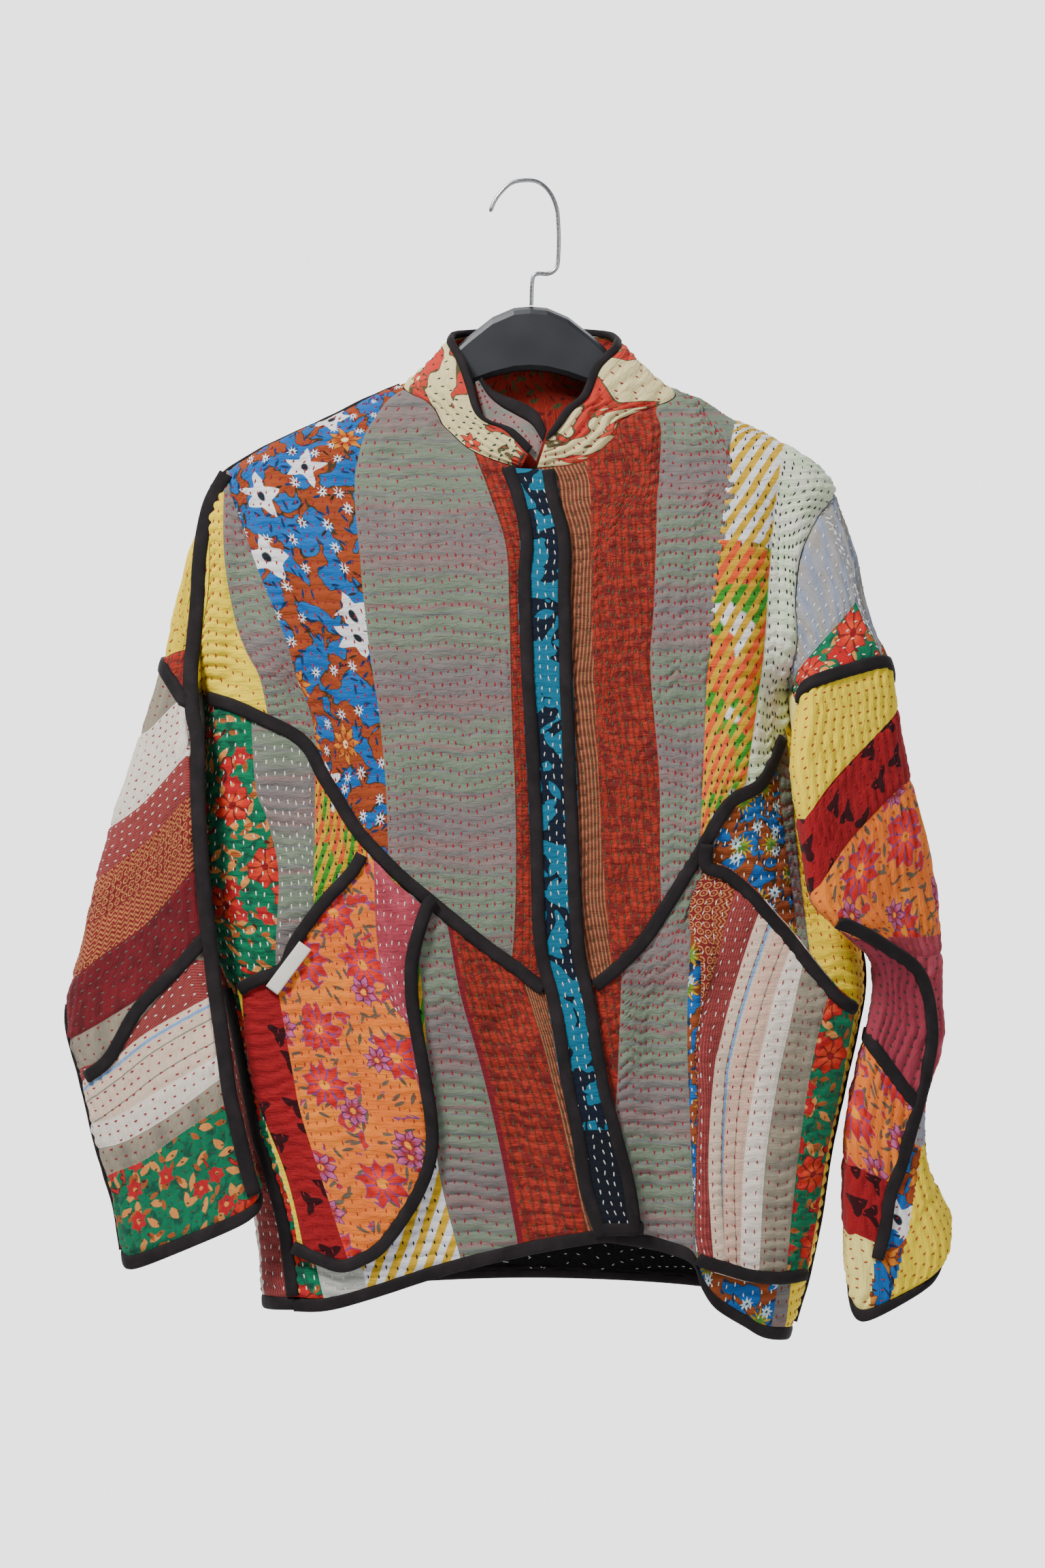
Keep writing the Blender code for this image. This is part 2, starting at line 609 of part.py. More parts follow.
def build_body(seams):
    """The four front panels and the back, which meet on shared seams."""
    fronts = (
        ("yoke_front_right", seams.neck_right, seams.yoke_right, seams.side_right, seams.front_upper),
        ("yoke_front_left", seams.neck_left, seams.yoke_left, seams.front_upper, seams.side_left),
        ("lower_front_right", seams.yoke_right, seams.cloth_right, seams.flank_right, seams.front_lower),
        ("lower_front_left", seams.yoke_left, seams.cloth_left, seams.front_lower, seams.flank_left),
    )
    for name, top, foot, start, end in fronts:
        wall(name, body, patch(top, foot, start, end), 1, GREY_CLOTH)
    start = [(1 - a, z) for a, z in seams.side_left] + seams.flank_left[1:]
    end = [(1 - a, z) for a, z in seams.side_right] + [(2 + a, z) for a, z in seams.flank_right[1:]]
    grid = patch(seams.back_neck, seams.back_cloth, start, end)
    wall("back_panel", body, grid, 1, GREY_CLOTH, gap=EDGE_GAP)
    bound_edge("hem_binding_front_right", body, seams.cloth_right, seams.rim_right)
    bound_edge("hem_binding_front_left", body, seams.cloth_left, seams.rim_left)
    bound_edge("hem_binding_back", body, seams.back_cloth, seams.back_rim)


def ring(s, turn_count=ARM_COLUMNS_ROUND):
    """Places once round an arm."""
    return [(-1 + 2 * i / turn_count, s) for i in range(turn_count)]


def build_arms():
    """Sleeve caps and sleeves, both open tubes, with their bound cuffs and the tapes over their seams."""
    arms = (("right", right_arm, -1, CUFF_RIGHT), ("left", left_arm, 1, CUFF_LEFT))
    for side, surface, outward, cuff in arms:
        start = CAP_START[outward]
        cap = [ring(start + (ARM_SEAM - start) * j / CAP_ROWS) for j in range(CAP_ROWS + 1)]
        wall("sleeve_cap_" + side, surface, cap, outward, GREY_CLOTH, closed=True)
        tube = [ring(ARM_SEAM + (cuff - 1 - ARM_SEAM) * j / SLEEVE_ROWS) for j in range(SLEEVE_ROWS + 1)]
        wall("sleeve_" + side, surface, tube, outward, GREY_CLOTH, closed=True)
        bound_edge("cuff_binding_" + side, surface, ring(cuff - CUFF_SHARE[outward]), ring(cuff), outward,
                   closed=True)
        line = [(-0.48 + 0.9 * i / 12, ARM_SEAM) for i in range(13)]
        tape_on_arm("armhole_binding_" + side, surface, outward, line, low=ON_PANEL + 0.4)
    line = [(0.43, 5.4 + (CUFF_RIGHT - 6.6) * i / 28) for i in range(29)]
    tape_on_arm("overarm_binding_right", right_arm, -1, line)
    line = [on_arm(right_arm, x, z, (0.0, 10.0)) for x, z in smooth_line(SLEEVE_SEAM_RIGHT, 9)]
    tape_on_arm("sleeve_binding_right", right_arm, -1, line)
    line = [on_arm(left_arm, x, z, (0.0, 12.0)) for x, z in smooth_line(SLEEVE_SEAM_LEFT, 22)]
    tape_on_arm("sleeve_binding_left", left_arm, 1, line, low=SEAM_STAND)


def collar_surface(seams):
    """The collar's map: u counts along its seam round the neck, v goes from the seam to the upper edge."""
    runs = (
        (seams.neck_right[::-1], COLLAR_TOP_RIGHT),
        (seams.back_neck[::-1], COLLAR_TOP_BACK),
        (seams.neck_left[::-1], COLLAR_TOP_LEFT),
    )
    low, high = [], []
    for places, top in runs:
        keep = len(low) > 0
        low += [body(*place) for place in places[keep:]]
        high += [Vector(p) for p in smooth_line(top, len(places) - 1)[keep:]]

    def point(u, v):
        """The collar's middle surface."""
        i = min(int(u), len(low) - 2)
        return low[i].lerp(low[i + 1], u - i).lerp(high[i].lerp(high[i + 1], u - i), v)

    return point, len(low) - 1


def build_collar(seams):
    """The standing collar and its bound upper edge."""
    surface, count = collar_surface(seams)
    turns = [COLLAR_END] + list(range(1, count)) + [count - COLLAR_END]
    rows = []
    for share in (0.0, 0.33, 0.67, 1.0):
        line = []
        for u in turns:
            height = (surface(u, 1) - surface(u, 0)).length
            first, last = COLLAR_SEAM_GAP / height, 1 - COLLAR_TAPE / height
            line.append((u, first + (last - first) * share))
        rows.append(line)
    wall("collar", surface, rows, 1, (0.7, 0.55, 0.3))
    bound_edge("collar_binding", surface, rows[-1], [(u, 1.0) for u in turns])


def build_trim():
    """Placket, pockets, label and the tapes over seams."""
    top = (BAND_RIGHT[0], BAND_LEFT[0])
    foot = (BAND_RIGHT[-1], BAND_LEFT[-1])
    panel("placket_band", top, foot, BAND_RIGHT, BAND_LEFT, 2, 30, (0.02, 0.22, 0.3), low=ON_PANEL,
          high=ON_PANEL + WALL, ridge=0.0)
    half = TAPE_WIDTH / 2
    on_band = ON_PANEL + WALL + 0.4
    tape_on_front("placket_tape_outer", shifted(BAND_RIGHT, half, 0), low=on_band)
    tape_on_front("placket_tape_edge", shifted(BAND_LEFT, -half, 0), low=on_band)
    tape_on_front("yoke_binding_right", YOKE_RIGHT[1:-1] + ((4, -525),), low=SEAM_STAND + 0.6)
    line = ((52, -523),) + tuple(reversed(YOKE_LEFT[1:-1]))
    tape_on_front("yoke_binding_left", line, low=SEAM_STAND - 0.5)
    panel("pocket_right", POCKET_RIGHT_TOP, POCKET_RIGHT_FOOT, POCKET_RIGHT_SEAM, POCKET_RIGHT_SIDE, 6, 18,
          (0.9, 0.35, 0.08), low=POCKET_STAND, high=POCKET_STAND + WALL)
    panel("pocket_left", POCKET_LEFT_TOP, POCKET_LEFT_FOOT, POCKET_LEFT_SIDE, POCKET_LEFT_SEAM, 6, 20,
          (0.6, 0.5, 0.45), low=POCKET_STAND, high=POCKET_STAND + WALL)
    tape_on_front("pocket_opening_binding_right", POCKET_RIGHT_MOUTH, low=ON_POCKET)
    tape_on_front("pocket_opening_binding_left", shifted(POCKET_LEFT_TOP[1:-1], -3, -4), low=ON_POCKET)
    edge = POCKET_RIGHT_SIDE[1:-1] + tuple(reversed(POCKET_RIGHT_FOOT[2:]))
    tape_on_front("pocket_edge_binding_right", shifted(edge, -3, 2), low=ON_POCKET)
    tape_on_front("pocket_edge_binding_left", shifted(POCKET_LEFT_FOOT[:-1], 3, 5), low=ON_POCKET)
    on_binding = ON_POCKET + TAPE_THICK + 0.5
    tape_on_front("pocket_label", POCKET_LABEL, low=on_binding, width=LABEL_WIDTH, step=8.0)
    tape_on_front("side_binding_right", SIDE_RIGHT[:-1] + ((-151.5, -731),), low=ARM_STAND)
    line = [(0.5, z) for z in range(-500, -752, -13)]
    ribbon("side_binding_left", body, line, 1, TAPE_WIDTH, ARM_STAND, ARM_STAND + TAPE_THICK)


def build_hanger():
    """The moulded hanger, thin along its top edge, and its bent wire hook."""
    verts, faces = [], []
    half = HANGER_THICK / 2
    for x, top, foot in HANGER:
        edge = ((0, top), (-SHOULDER_SHARE * half, top - SHOULDER_DROP), (-half, top - LIP_DROP),
                (-half, foot + FOOT_RISE), (-FOOT_SHARE * half, foot))
        mirrored = tuple((-y, z) for y, z in reversed(edge[1:]))
        around = len(edge) + len(mirrored)
        for y, z in edge + mirrored:
            verts.append(Vector((x, y, z)))
    for j in range(len(HANGER) - 1):
        for k in range(around):
            n = (k + 1) % around
            faces.append((around * j + k, around * j + n, around * (j + 1) + n, around * (j + 1) + k))
    faces.append(tuple(range(around)))
    faces.append(tuple(around * (len(HANGER) - 1) + k for k in range(around)))
    make_object("hanger_plate", verts, faces, (0.02, 0.025, 0.03), roughness=0.45)

    curve = bpy.data.curves.new("hanger_hook", "CURVE")
    curve.dimensions = "3D"
    curve.bevel_depth = HOOK_WIRE / 2 * MM
    curve.bevel_resolution = 2
    curve.use_fill_caps = True
    spline = curve.splines.new("POLY")
    line = smooth_line(HOOK, HOOK_STEPS)
    spline.points.add(len(line) - 1)
    for place, (x, z) in zip(spline.points, line):
        place.co = (x * MM, 0, z * MM, 1)
    hook = bpy.data.objects.new("hanger_hook", curve)
    bpy.context.scene.collection.objects.link(hook)
    curve.materials.append(make_material("hanger_hook", (0.6, 0.6, 0.62), 0.3, 1.0))


def main():
    """Build every piece."""
    clear_scene()
    build_hanger()
    seams = Seams()
    build_body(seams)
    build_arms()
    build_collar(seams)
    build_trim()


main()
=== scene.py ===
"""The looks of a quilted patchwork jacket on a moulded hanger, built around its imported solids.

The cloth is drawn on the same three maps as the solids: one round the body and one round each arm. A panel is
a row of strips, each the stretch of a map between two borders, so that every print ends on a true seam. The
quilting is real relief, and each running stitch is a small piece of thread. Sizes are in millimetres; only a
finished mesh is scaled to metres. Borders of the printed strips are named places in the photograph, in its
own 1536 x 2304 pixels, which seen() turns into millimetres in the hanger's plane.
"""

from __future__ import annotations

import logging
import math
from dataclasses import dataclass, field
from enum import Enum
from typing import Any, Callable, Sequence

import bmesh
import bpy
import numpy as np
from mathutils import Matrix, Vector

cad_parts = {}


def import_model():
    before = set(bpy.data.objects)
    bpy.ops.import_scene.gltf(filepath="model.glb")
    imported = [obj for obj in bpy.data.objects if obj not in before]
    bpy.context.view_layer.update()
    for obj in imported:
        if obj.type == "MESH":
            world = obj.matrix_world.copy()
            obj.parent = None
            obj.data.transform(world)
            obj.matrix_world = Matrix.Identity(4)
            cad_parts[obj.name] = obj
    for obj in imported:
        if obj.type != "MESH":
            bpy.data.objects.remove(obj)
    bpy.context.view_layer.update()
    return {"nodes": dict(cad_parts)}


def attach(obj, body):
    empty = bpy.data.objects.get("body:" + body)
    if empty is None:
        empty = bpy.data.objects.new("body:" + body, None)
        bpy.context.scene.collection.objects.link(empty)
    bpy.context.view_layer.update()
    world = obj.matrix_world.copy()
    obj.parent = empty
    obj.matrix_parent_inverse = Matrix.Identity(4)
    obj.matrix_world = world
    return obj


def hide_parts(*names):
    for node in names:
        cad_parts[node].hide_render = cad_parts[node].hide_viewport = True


log = logging.getLogger("jacket")

Array = np.ndarray
Line = Sequence[Sequence[float]]
Surface = Callable[[Array, Array], Array]
MM = 0.001
MM_PER_PIXEL = 0.45
CREST_PIXEL = (773.0, 268.0)
PHOTO_CENTRE = (768, 1152)
PHOTO_HEIGHT = 2304

TAPE_WIDTH = 9.0
GIRTH = 900.0
MAP_SCALE = np.array((GIRTH / 2, 1.0))
SQUARENESS = 2.2
CLOTH_FACE = 1.5
LINING_FACE = -1.3
POCKET_FACE = 5.4
BAND_FACE = 4.6
ARM_SEAM = 4.9
ARM_BLEND = 2.6
ARMHOLE_TOP = -205.0
ARMHOLE_FOOT = -334.0
ARMHOLE_REACH = {-1: 0.13, 1: 0.10}
CUFF_SHARE = {-1: 0.98, 1: 0.84}
FINE_STEP = 1.9
BACK_STEP = 2.7
BACK_HEIGHT = 600.0
BACK_WIDTH = 460.0
STITCH_ROWS = 6.6
STITCH_PITCH = 8.0
PRINT_SHIFT = (137.0, 71.0)

# The body's rings: height, right edge, left edge, the front's and the back's stand from the hanger's plane
BODY_COLUMNS = ("z", "right_edge", "left_edge", "front", "back")
BODY_RINGS = (
    (-118, -50, 58, -7, 8),
    (-127, -64, 71, -9, 10),
    (-134, -78, 83, -13, 12),
    (-145, -104, 113, -18, 15),
    (-157, -128, 134, -21, 17),
    (-169, -155, 160, -24, 19),
    (-180, -177, 180, -26, 21),
    (-192, -196, 195, -28, 23),
    (-204, -207, 203, -30, 25),
    (-222, -216, 196, -33, 27),
    (-245, -221, 189, -36, 30),
    (-275, -224, 186, -38, 32),
    (-305, -224, 184, -39, 34),
    (-335, -213, 172, -40, 35),
    (-352, -210, 173, -40, 36),
    (-370, -210, 177, -41, 36),
    (-390, -212, 185, -42, 37),
    (-410, -216, 192, -42, 37),
    (-450, -216, 202, -43, 38),
    (-485, -212, 212, -44, 38),
    (-510, -207, 220, -44, 38),
    (-535, -202, 221, -44, 38),
    (-562, -197, 216, -44, 37),
    (-598, -191, 208, -43, 36),
    (-640, -184, 199, -42, 35),
    (-680, -178, 193, -40, 34),
    (-720, -174, 185, -38, 32),
    (-765, -171, 172, -35, 30),
)

# The arms' rings from the armhole to the cuff: outer and inner fold, the stand of each face, and its dip
ARM_COLUMNS = ("x_out", "z_out", "x_in", "z_in", "y_out", "y_in", "front", "back", "dip_front", "dip_back")
RIGHT_ARM_RINGS = (
    (-207, -205, -216, -334, 0, 0, 22, 20, 0, 0),
    (-211, -219, -217, -336, 0, -1, 22, 20, 0, 0),
    (-219, -241, -219, -338, 0, -4, 22, 21, 0, 0),
    (-227, -272, -219, -341, 0, -9, 20, 21, 0, 0),
    (-233, -298, -219, -344, 0, -14, 20, 22, 0, 0),
    (-239, -322, -219, -349, -1, -21, 19, 22, 2, 0),
    (-256, -376, -216, -384, -3, -34, 18, 22, 0, 0),
    (-270, -418, -213, -420, -5, -37, 20, 20, 0, 0),
    (-281, -459, -210, -462, -7, -39, 18, 17, 0, 0),
    (-289, -496, -205, -500, -8, -40, 17, 15, 0, 0),
    (-301, -548, -197, -552, -9, -44, 15, 13, 0, 0),
    (-292, -590, -190, -592, -9, -47, 14, 12, 0, 0),
    (-281, -636, -181, -634, -10, -48, 13, 12, 0, 0),
    (-270, -672, -176, -648, -10, -48, 12, 12, 4, 0),
    (-265, -702, -172.5, -661, -10, -48, 12, 12, 8, 0),
    (-264, -711, -172, -669, -10, -48, 12, 12, 9, 0),
)
LEFT_ARM_RINGS = (
    (202, -205, 174, -334, 0, 0, 22, 20, 0, 0),
    (208, -223, 178, -337.5, 0, -1, 22, 20, 0, 0),
    (216, -247, 178, -339, 0, -5, 22, 21, 0, 0),
    (221, -273, 177, -341, 0, -12, 22, 22, -3, 0),
    (229, -302, 178, -344, -2, -20, 22, 22, -9, 0),
    (240, -333, 178, -350, -4, -31, 21, 22, -14, 0),
    (250, -387, 173, -388, -6, -49, 19, 18, 0, 0),
    (264, -440, 179, -440, -8, -56, 18, 14, 0, 0),
    (269, -472, 184, -471, -9, -60, 16, 12, 0, 0),
    (270, -486, 197, -486, -9, -58, 15, 12, 0, 0),
    (271, -499, 213, -499, -9, -48, 15, 13, 0, 0),
    (272, -514, 226, -513, -9, -36, 15, 14, 0, 0),
    (273, -543, 228, -540, -9, -24, 16, 15, 0, 0),
    (272, -572, 222, -570, -8, -18, 17, 16, 0, 0),
    (262, -606, 214, -606, -6, -14, 18, 16, 0, 0),
    (263, -646, 210, -646, 0, -12, 18, 17, 6, 0),
    (280, -682, 211, -700, 6, -12, 19, 18, 18, 4),
    (278, -690, 212.5, -718, 8, -12, 19, 18, 26, 4),
    (272, -698, 213, -727, 8, -12, 19, 18, 28, 4),
)

# Soft folds on the body's front: from one point to another, half width, and depth, minus for a ridge
FRONT_FOLDS = (
    (-178, -200, -192, -330, 12, 6),
    (166, -215, 158, -330, 12, 8),
    (176, -350, 190, -480, 22, 17),
    (150, -330, 120, -425, 16, -5),
    (-150, -340, -110, -430, 18, 4),
    (-70, -500, -95, -720, 26, -5),
    (107, -510, 114, -735, 17, -10),
    (86, -540, 90, -700, 17, 6),
    (150, -560, 150, -740, 26, -5),
    (20, -560, 55, -690, 22, -4),
    (-20, -560, 5, -690, 18, 5),
)

# Edges seen from the front, as (x, z)
NECK_RIGHT = ((-76.5, -133), (-67.5, -146), (-53, -165), (-36, -180), (-14, -189))
NECK_LEFT = ((83, -135), (71.5, -155), (57.6, -172), (43, -185), (28.8, -190), (19, -191))
YOKE_RIGHT = ((-219.5, -338), (-206, -341), (-176, -353), (-145, -371), (-130, -396), (-109, -428),
              (-84, -455), (-40, -492), (12, -531))
YOKE_LEFT = ((179, -352), (167, -368), (153, -397), (131, -411), (111, -445), (94, -473), (77, -498),
             (61, -515), (44.6, -529))
BAND_RIGHT = ((-16, -192), (-9, -212), (-4, -241), (-5, -284), (2, -420), (5, -501), (14, -539), (22, -586),
              (30, -626), (35, -659), (45, -690))
BAND_LEFT = ((19, -194), (22, -212), (29, -241), (29, -284), (34, -420), (38, -501), (45, -539), (52, -586),
             (62, -626), (70, -659), (74, -690))
SIDE_RIGHT = ((-194, -531), (-176, -620), (-169, -643), (-161, -670), (-156, -691), (-153, -715),
              (-151, -741))
HEM_RIGHT = ((-151, -742), (-121, -739), (-44, -715), (-1, -705), (45, -696), (59, -696))
HEM_LEFT = ((59, -696), (74, -699), (90, -703), (108, -709), (114, -725), (124, -739), (142, -751),
            (158, -760), (171, -764))
POCKET_RIGHT_TOP = ((-186, -529), (-173, -523), (-155, -514), (-147, -496), (-127, -469), (-104, -446),
                    (-84, -462), (-62, -482))
POCKET_RIGHT_SIDE = ((-62, -482), (-70, -510), (-71, -531), (-69, -553), (-63, -590), (-59, -616),
                     (-60, -642), (-70, -668))
POCKET_RIGHT_FOOT = ((-147, -701), (-140, -704), (-130, -708), (-116, -712), (-104, -708), (-90, -698),
                     (-70, -668))
POCKET_RIGHT_SEAM = ((-186, -529), (-169, -612), (-159, -648), (-151, -675), (-147, -701))
POCKET_LEFT_TOP = ((120, -447), (133, -453), (148, -466), (162, -483), (176, -500), (192, -519), (203, -532),
                   (213, -540))
POCKET_LEFT_SIDE = ((120, -447), (107, -472), (106, -492), (111, -510), (112, -555), (111, -626),
                    (111, -690), (116, -712))
POCKET_LEFT_FOOT = ((116, -712), (138, -719), (160, -722), (180, -720))
POCKET_LEFT_SEAM = ((213, -540), (209, -560), (202, -598), (193, -640), (187, -680), (180, -720))
POCKET_RIGHT_MOUTH = ((-183, -531), (-174, -525), (-157, -517), (-149, -500), (-130, -474), (-112, -455))
POCKET_LABEL = ((-163, -531), (-153, -517), (-142, -502))
SLEEVE_SEAM_RIGHT = ((-286, -589), (-271, -576), (-255, -549), (-240, -532), (-218, -510))
SLEEVE_SEAM_LEFT = ((200, -486), (215, -493), (234, -504), (252, -517), (261, -534), (265, -560),
                    (262, -583), (256, -608), (245, -647), (238, -667), (234, -690), (229, -708))
BACK_NECK = ((0.62, -129), (0.8, -124), (1.0, -122.5), (1.2, -124), (1.38, -129))
BACK_HEM = ((0.6, -741), (0.75, -727), (1.0, -720), (1.25, -726), (1.45, -734))

# The collar's upper edge in three runs, as (x, y, z): from the right end, round the back, to the left end
COLLAR_TOP_RIGHT = ((5, -33, -179), (-8.5, -31, -166), (-27, -29, -158), (-34, -24, -137), (-40, -17, -119),
                    (-48, -6, -104))
COLLAR_TOP_BACK = ((-48, -6, -104), (-46, 5, -98), (-30, 14, -95), (4, 17, -94), (38, 14, -95), (54, 5, -98),
                   (59, -6, -103))
COLLAR_TOP_LEFT = ((59, -6, -103), (56, -19, -111), (44, -25, -124), (36, -29, -143), (25, -31, -153),
                   (14, -32, -170))

# The hook's bent wire, as (x, z)
HOOK = ((3.6, -81.5), (4.2, -66), (6.6, -60.6), (15.5, -60.3), (20.5, -56), (21.6, -46), (21.6, -30),
        (20.3, -17), (15.8, -6.6), (8.5, 0), (0, 1.4), (-9.5, -0.4), (-16.7, -6.8), (-21, -13),
        (-23.6, -19.5))


def seen(points: Line) -> list[tuple[float, float]]:
    """Turn places in the photograph into millimetres in the hanger's plane.

    Args:
        points: Places as (across, down), in pixels.

    Returns:
        The same places as (x, z).
    """
    return [((x - CREST_PIXEL[0]) * MM_PER_PIXEL, (CREST_PIXEL[1] - y) * MM_PER_PIXEL) for x, y in points]


class Columns:
    """A table of named columns, read between its rows on a smooth curve."""

    def __init__(self, names: Sequence[str], rows: Line, keys: Sequence[float]) -> None:
        """Keep the table with its tangents.

        Args:
            names: A name for each column.
            rows: The table, one row a ring.
            keys: Where each row stands, rising.
        """
        self.names = tuple(names)
        self.keys = np.array(keys, float)
        self.values = np.array(rows, float)
        low = np.maximum(np.arange(len(keys)) - 1, 0)
        high = np.minimum(np.arange(len(keys)) + 1, len(keys) - 1)
        self.slopes = (self.values[high] - self.values[low]) / (self.keys[high] - self.keys[low])[:, None]

    def read(self, at: Array) -> dict[str, Array]:
        """Read every column.

        Args:
            at: The keys to read at.

        Returns:
            An array for each column's name.
        """
        i = np.clip(np.searchsorted(self.keys, at, side="right") - 1, 0, len(self.keys) - 2)
        span = (self.keys[i + 1] - self.keys[i])[..., None]
        t = (at - self.keys[i])[..., None] / span
        p0, p1 = self.values[i], self.values[i + 1]
        m0, m1 = self.slopes[i] * span, self.slopes[i + 1] * span
        inside = ((2 * t**3 - 3 * t**2 + 1) * p0 + (t**3 - 2 * t**2 + t) * m0
                  + (3 * t**2 - 2 * t**3) * p1 + (t**3 - t**2) * m1)
        found = np.where((t < 0) | (t > 1), p0 + (p1 - p0) * t, inside)
        return {name: found[..., k] for k, name in enumerate(self.names)}


BODY = Columns(BODY_COLUMNS, BODY_RINGS, [-row[0] for row in BODY_RINGS])


def squared(c: Array) -> Array:
    """The flattened cosine that gives each ring flat faces and round folds."""
    return np.tanh(SQUARENESS * c) / np.tanh(SQUARENESS)


def fold_depth(x: Array, z: Array) -> Array:
    """How far the front's soft folds move the cloth at (x, z)."""
    total = np.zeros_like(x)
    for x0, z0, x1, z1, half_width, depth in FRONT_FOLDS:
        dx, dz = x1 - x0, z1 - z0
        held = np.clip(((x - x0) * dx + (z - z0) * dz) / (dx * dx + dz * dz), 0, 1)
        away = np.hypot(x - x0 - held * dx, z - z0 - held * dz)
        total += depth * np.exp(-((away / half_width) ** 2))
    return total


def body(a: Array, z: Array) -> Array:
    """The body's middle surface: a is 0 at the centre front, 0.5 at +X and 1 at the centre back.

    Args:
        a: How far round, in half turns.
        z: The height.

    Returns:
        Points, with x, y and z in the last axis.
    """
    size = BODY.read(-z)
    s, c = np.sin(np.pi * a), np.cos(np.pi * a)
    x = (size["right_edge"] + size["left_edge"]) / 2 + (size["left_edge"] - size["right_edge"]) / 2 * s
    k = squared(np.abs(c))
    y = np.where(c >= 0, k * (size["front"] + fold_depth(x, z)), k * size["back"])
    return np.stack([x, y, z], axis=-1)


def on_front(points: Line) -> Array:
    """The body map's places for points seen from the front."""
    at = np.array(points, float)
    size = BODY.read(-at[:, 1])
    middle, half = (size["right_edge"] + size["left_edge"]) / 2, (size["left_edge"] - size["right_edge"]) / 2
    s = np.clip((at[:, 0] - middle) / half, -1, 1)
    return np.stack([np.arcsin(s) / np.pi, at[:, 1]], axis=-1)


@dataclass
class Arm:
    """One arm's map: phi is -0.5 on the outer fold, 0 in front, 0.5 on the inner fold; s counts rings."""

    rings: Line
    side: int

    def __post_init__(self) -> None:
        """Keep the rings as a table."""
        self.table = Columns(ARM_COLUMNS, self.rings, range(len(self.rings)))
        self.cuff = len(self.rings) - 1

    def __call__(self, phi: Array, s: Array) -> Array:
        """The arm's middle surface."""
        size = self.table.read(s)
        t, c = np.sin(np.pi * phi), np.cos(np.pi * phi)
        half, k = (t + 1) / 2, squared(np.abs(c))
        stand = np.where(c >= 0, -size["front"], size["back"])
        dip = np.where(c >= 0, size["dip_front"], size["dip_back"])
        ring = np.stack([
            size["x_out"] + (size["x_in"] - size["x_out"]) * half,
            size["y_out"] + (size["y_in"] - size["y_out"]) * half + stand * k,
            size["z_out"] + (size["z_in"] - size["z_out"]) * half - dip * k,
        ], axis=-1)
        middle, reach = (ARMHOLE_TOP + ARMHOLE_FOOT) / 2, (ARMHOLE_TOP - ARMHOLE_FOOT) / 2
        hole = body(self.side * (0.5 - ARMHOLE_REACH[self.side] * c), middle - reach * t)
        f = np.clip(s / ARM_BLEND, 0, 1)
        f = (f * (2 - f))[..., None]
        return hole + (ring - hole) * f

    def find(self, points: Line, guess: tuple[float, float] = (0.0, 9.0), limit: float = 0.49) -> Array:
        """The places of points seen on the arm's front, found by stepping towards them.

        Args:
            points: Points as (x, z).
            guess: Where to start, as (phi, s).
            limit: How near the folds a place may come.

        Returns:
            Places as (phi, s).
        """
        goal = np.array(points, float)
        phi = np.full(len(goal), guess[0])
        s = np.clip(np.full(len(goal), guess[1]), 0, self.cuff)
        step = 0.01
        for _ in range(60):
            here = self(phi, s)
            du = (self(phi + step, s) - here) / step
            dv = (self(phi, s + step) - here) / step
            ex, ez = goal[:, 0] - here[:, 0], goal[:, 1] - here[:, 2]
            det = du[:, 0] * dv[:, 2] - du[:, 2] * dv[:, 0]
            det = np.where(np.abs(det) < 1e-3, 1e-3, det)
            phi = phi + np.clip((ex * dv[:, 2] - ez * dv[:, 0]) / det, -0.05, 0.05)
            s = s + np.clip((du[:, 0] * ez - du[:, 2] * ex) / det, -0.4, 0.4)
            phi = np.clip(phi, -limit, limit)
            s = np.clip(s, 0, self.cuff)
        return np.stack([phi, s], axis=-1)


@dataclass
class Ribbon:
    """A flat stretch along a line of points: u counts the points, v is to the side in millimetres."""

    points: Array

    def __call__(self, u: Array, v: Array) -> Array:
        """The ribbon's surface, which faces the front where the line runs down."""
        here = interpolated(u, np.arange(len(self.points)), self.points)
        return here + np.asarray(v)[..., None] * np.array((1.0, 0.0, 0.0))


@dataclass
class Bridge:
    """The surface between two lines: u runs along them from 0 to 1, v from the first to the second."""

    first: Array
    second: Array

    def __call__(self, u: Array, v: Array) -> Array:
        """The surface between the lines."""
        own = np.linspace(0, 1, len(self.first))
        low, high = interpolated(u, own, self.first), interpolated(u, own, self.second)
        return low + (high - low) * np.asarray(v)[..., None]


RIGHT_ARM = Arm(RIGHT_ARM_RINGS, -1)
LEFT_ARM = Arm(LEFT_ARM_RINGS, 1)


def smooth(points: Line, count: int) -> Array:
    """Points at even steps along a smooth curve through the given ones.

    Args:
        points: The curve's own points.
        count: The number of steps.

    Returns:
        count + 1 points.
    """
    at = np.array(points, float)
    if len(at) == 2:
        return at[0] + (at[1] - at[0]) * np.linspace(0, 1, count + 1)[:, None]
    before = np.vstack([at[:1], at[:-2]])
    after = np.vstack([at[2:], at[-1:]])
    t = (np.arange(12) / 12)[None, :, None]
    a, b, c, d = before[:, None], at[:-1, None], at[1:, None], after[:, None]
    fine = 0.5 * (2 * b + (c - a) * t + (2 * a - 5 * b + 4 * c - d) * t**2 + (3 * b - a - 3 * c + d) * t**3)
    fine = np.vstack([fine.reshape(-1, at.shape[1]), at[-1:]])
    return even(fine, count)


def even(line: Array, count: int) -> Array:
    """Points at even steps along a line of many points."""
    run = length_along(line)
    return interpolated(np.linspace(0, run[-1], count + 1), run, line)


def length_along(line: Array) -> Array:
    """How far along its line each point is."""
    return np.concatenate([[0], np.cumsum(np.linalg.norm(np.diff(line, axis=0), axis=1))])


def interpolated(goal: Any, own: Array, line: Array) -> Array:
    """Points of a line at the goal's places, where own gives the place of each of its own points."""
    return np.stack([np.interp(goal, own, line[:, k]) for k in range(line.shape[1])], axis=-1)


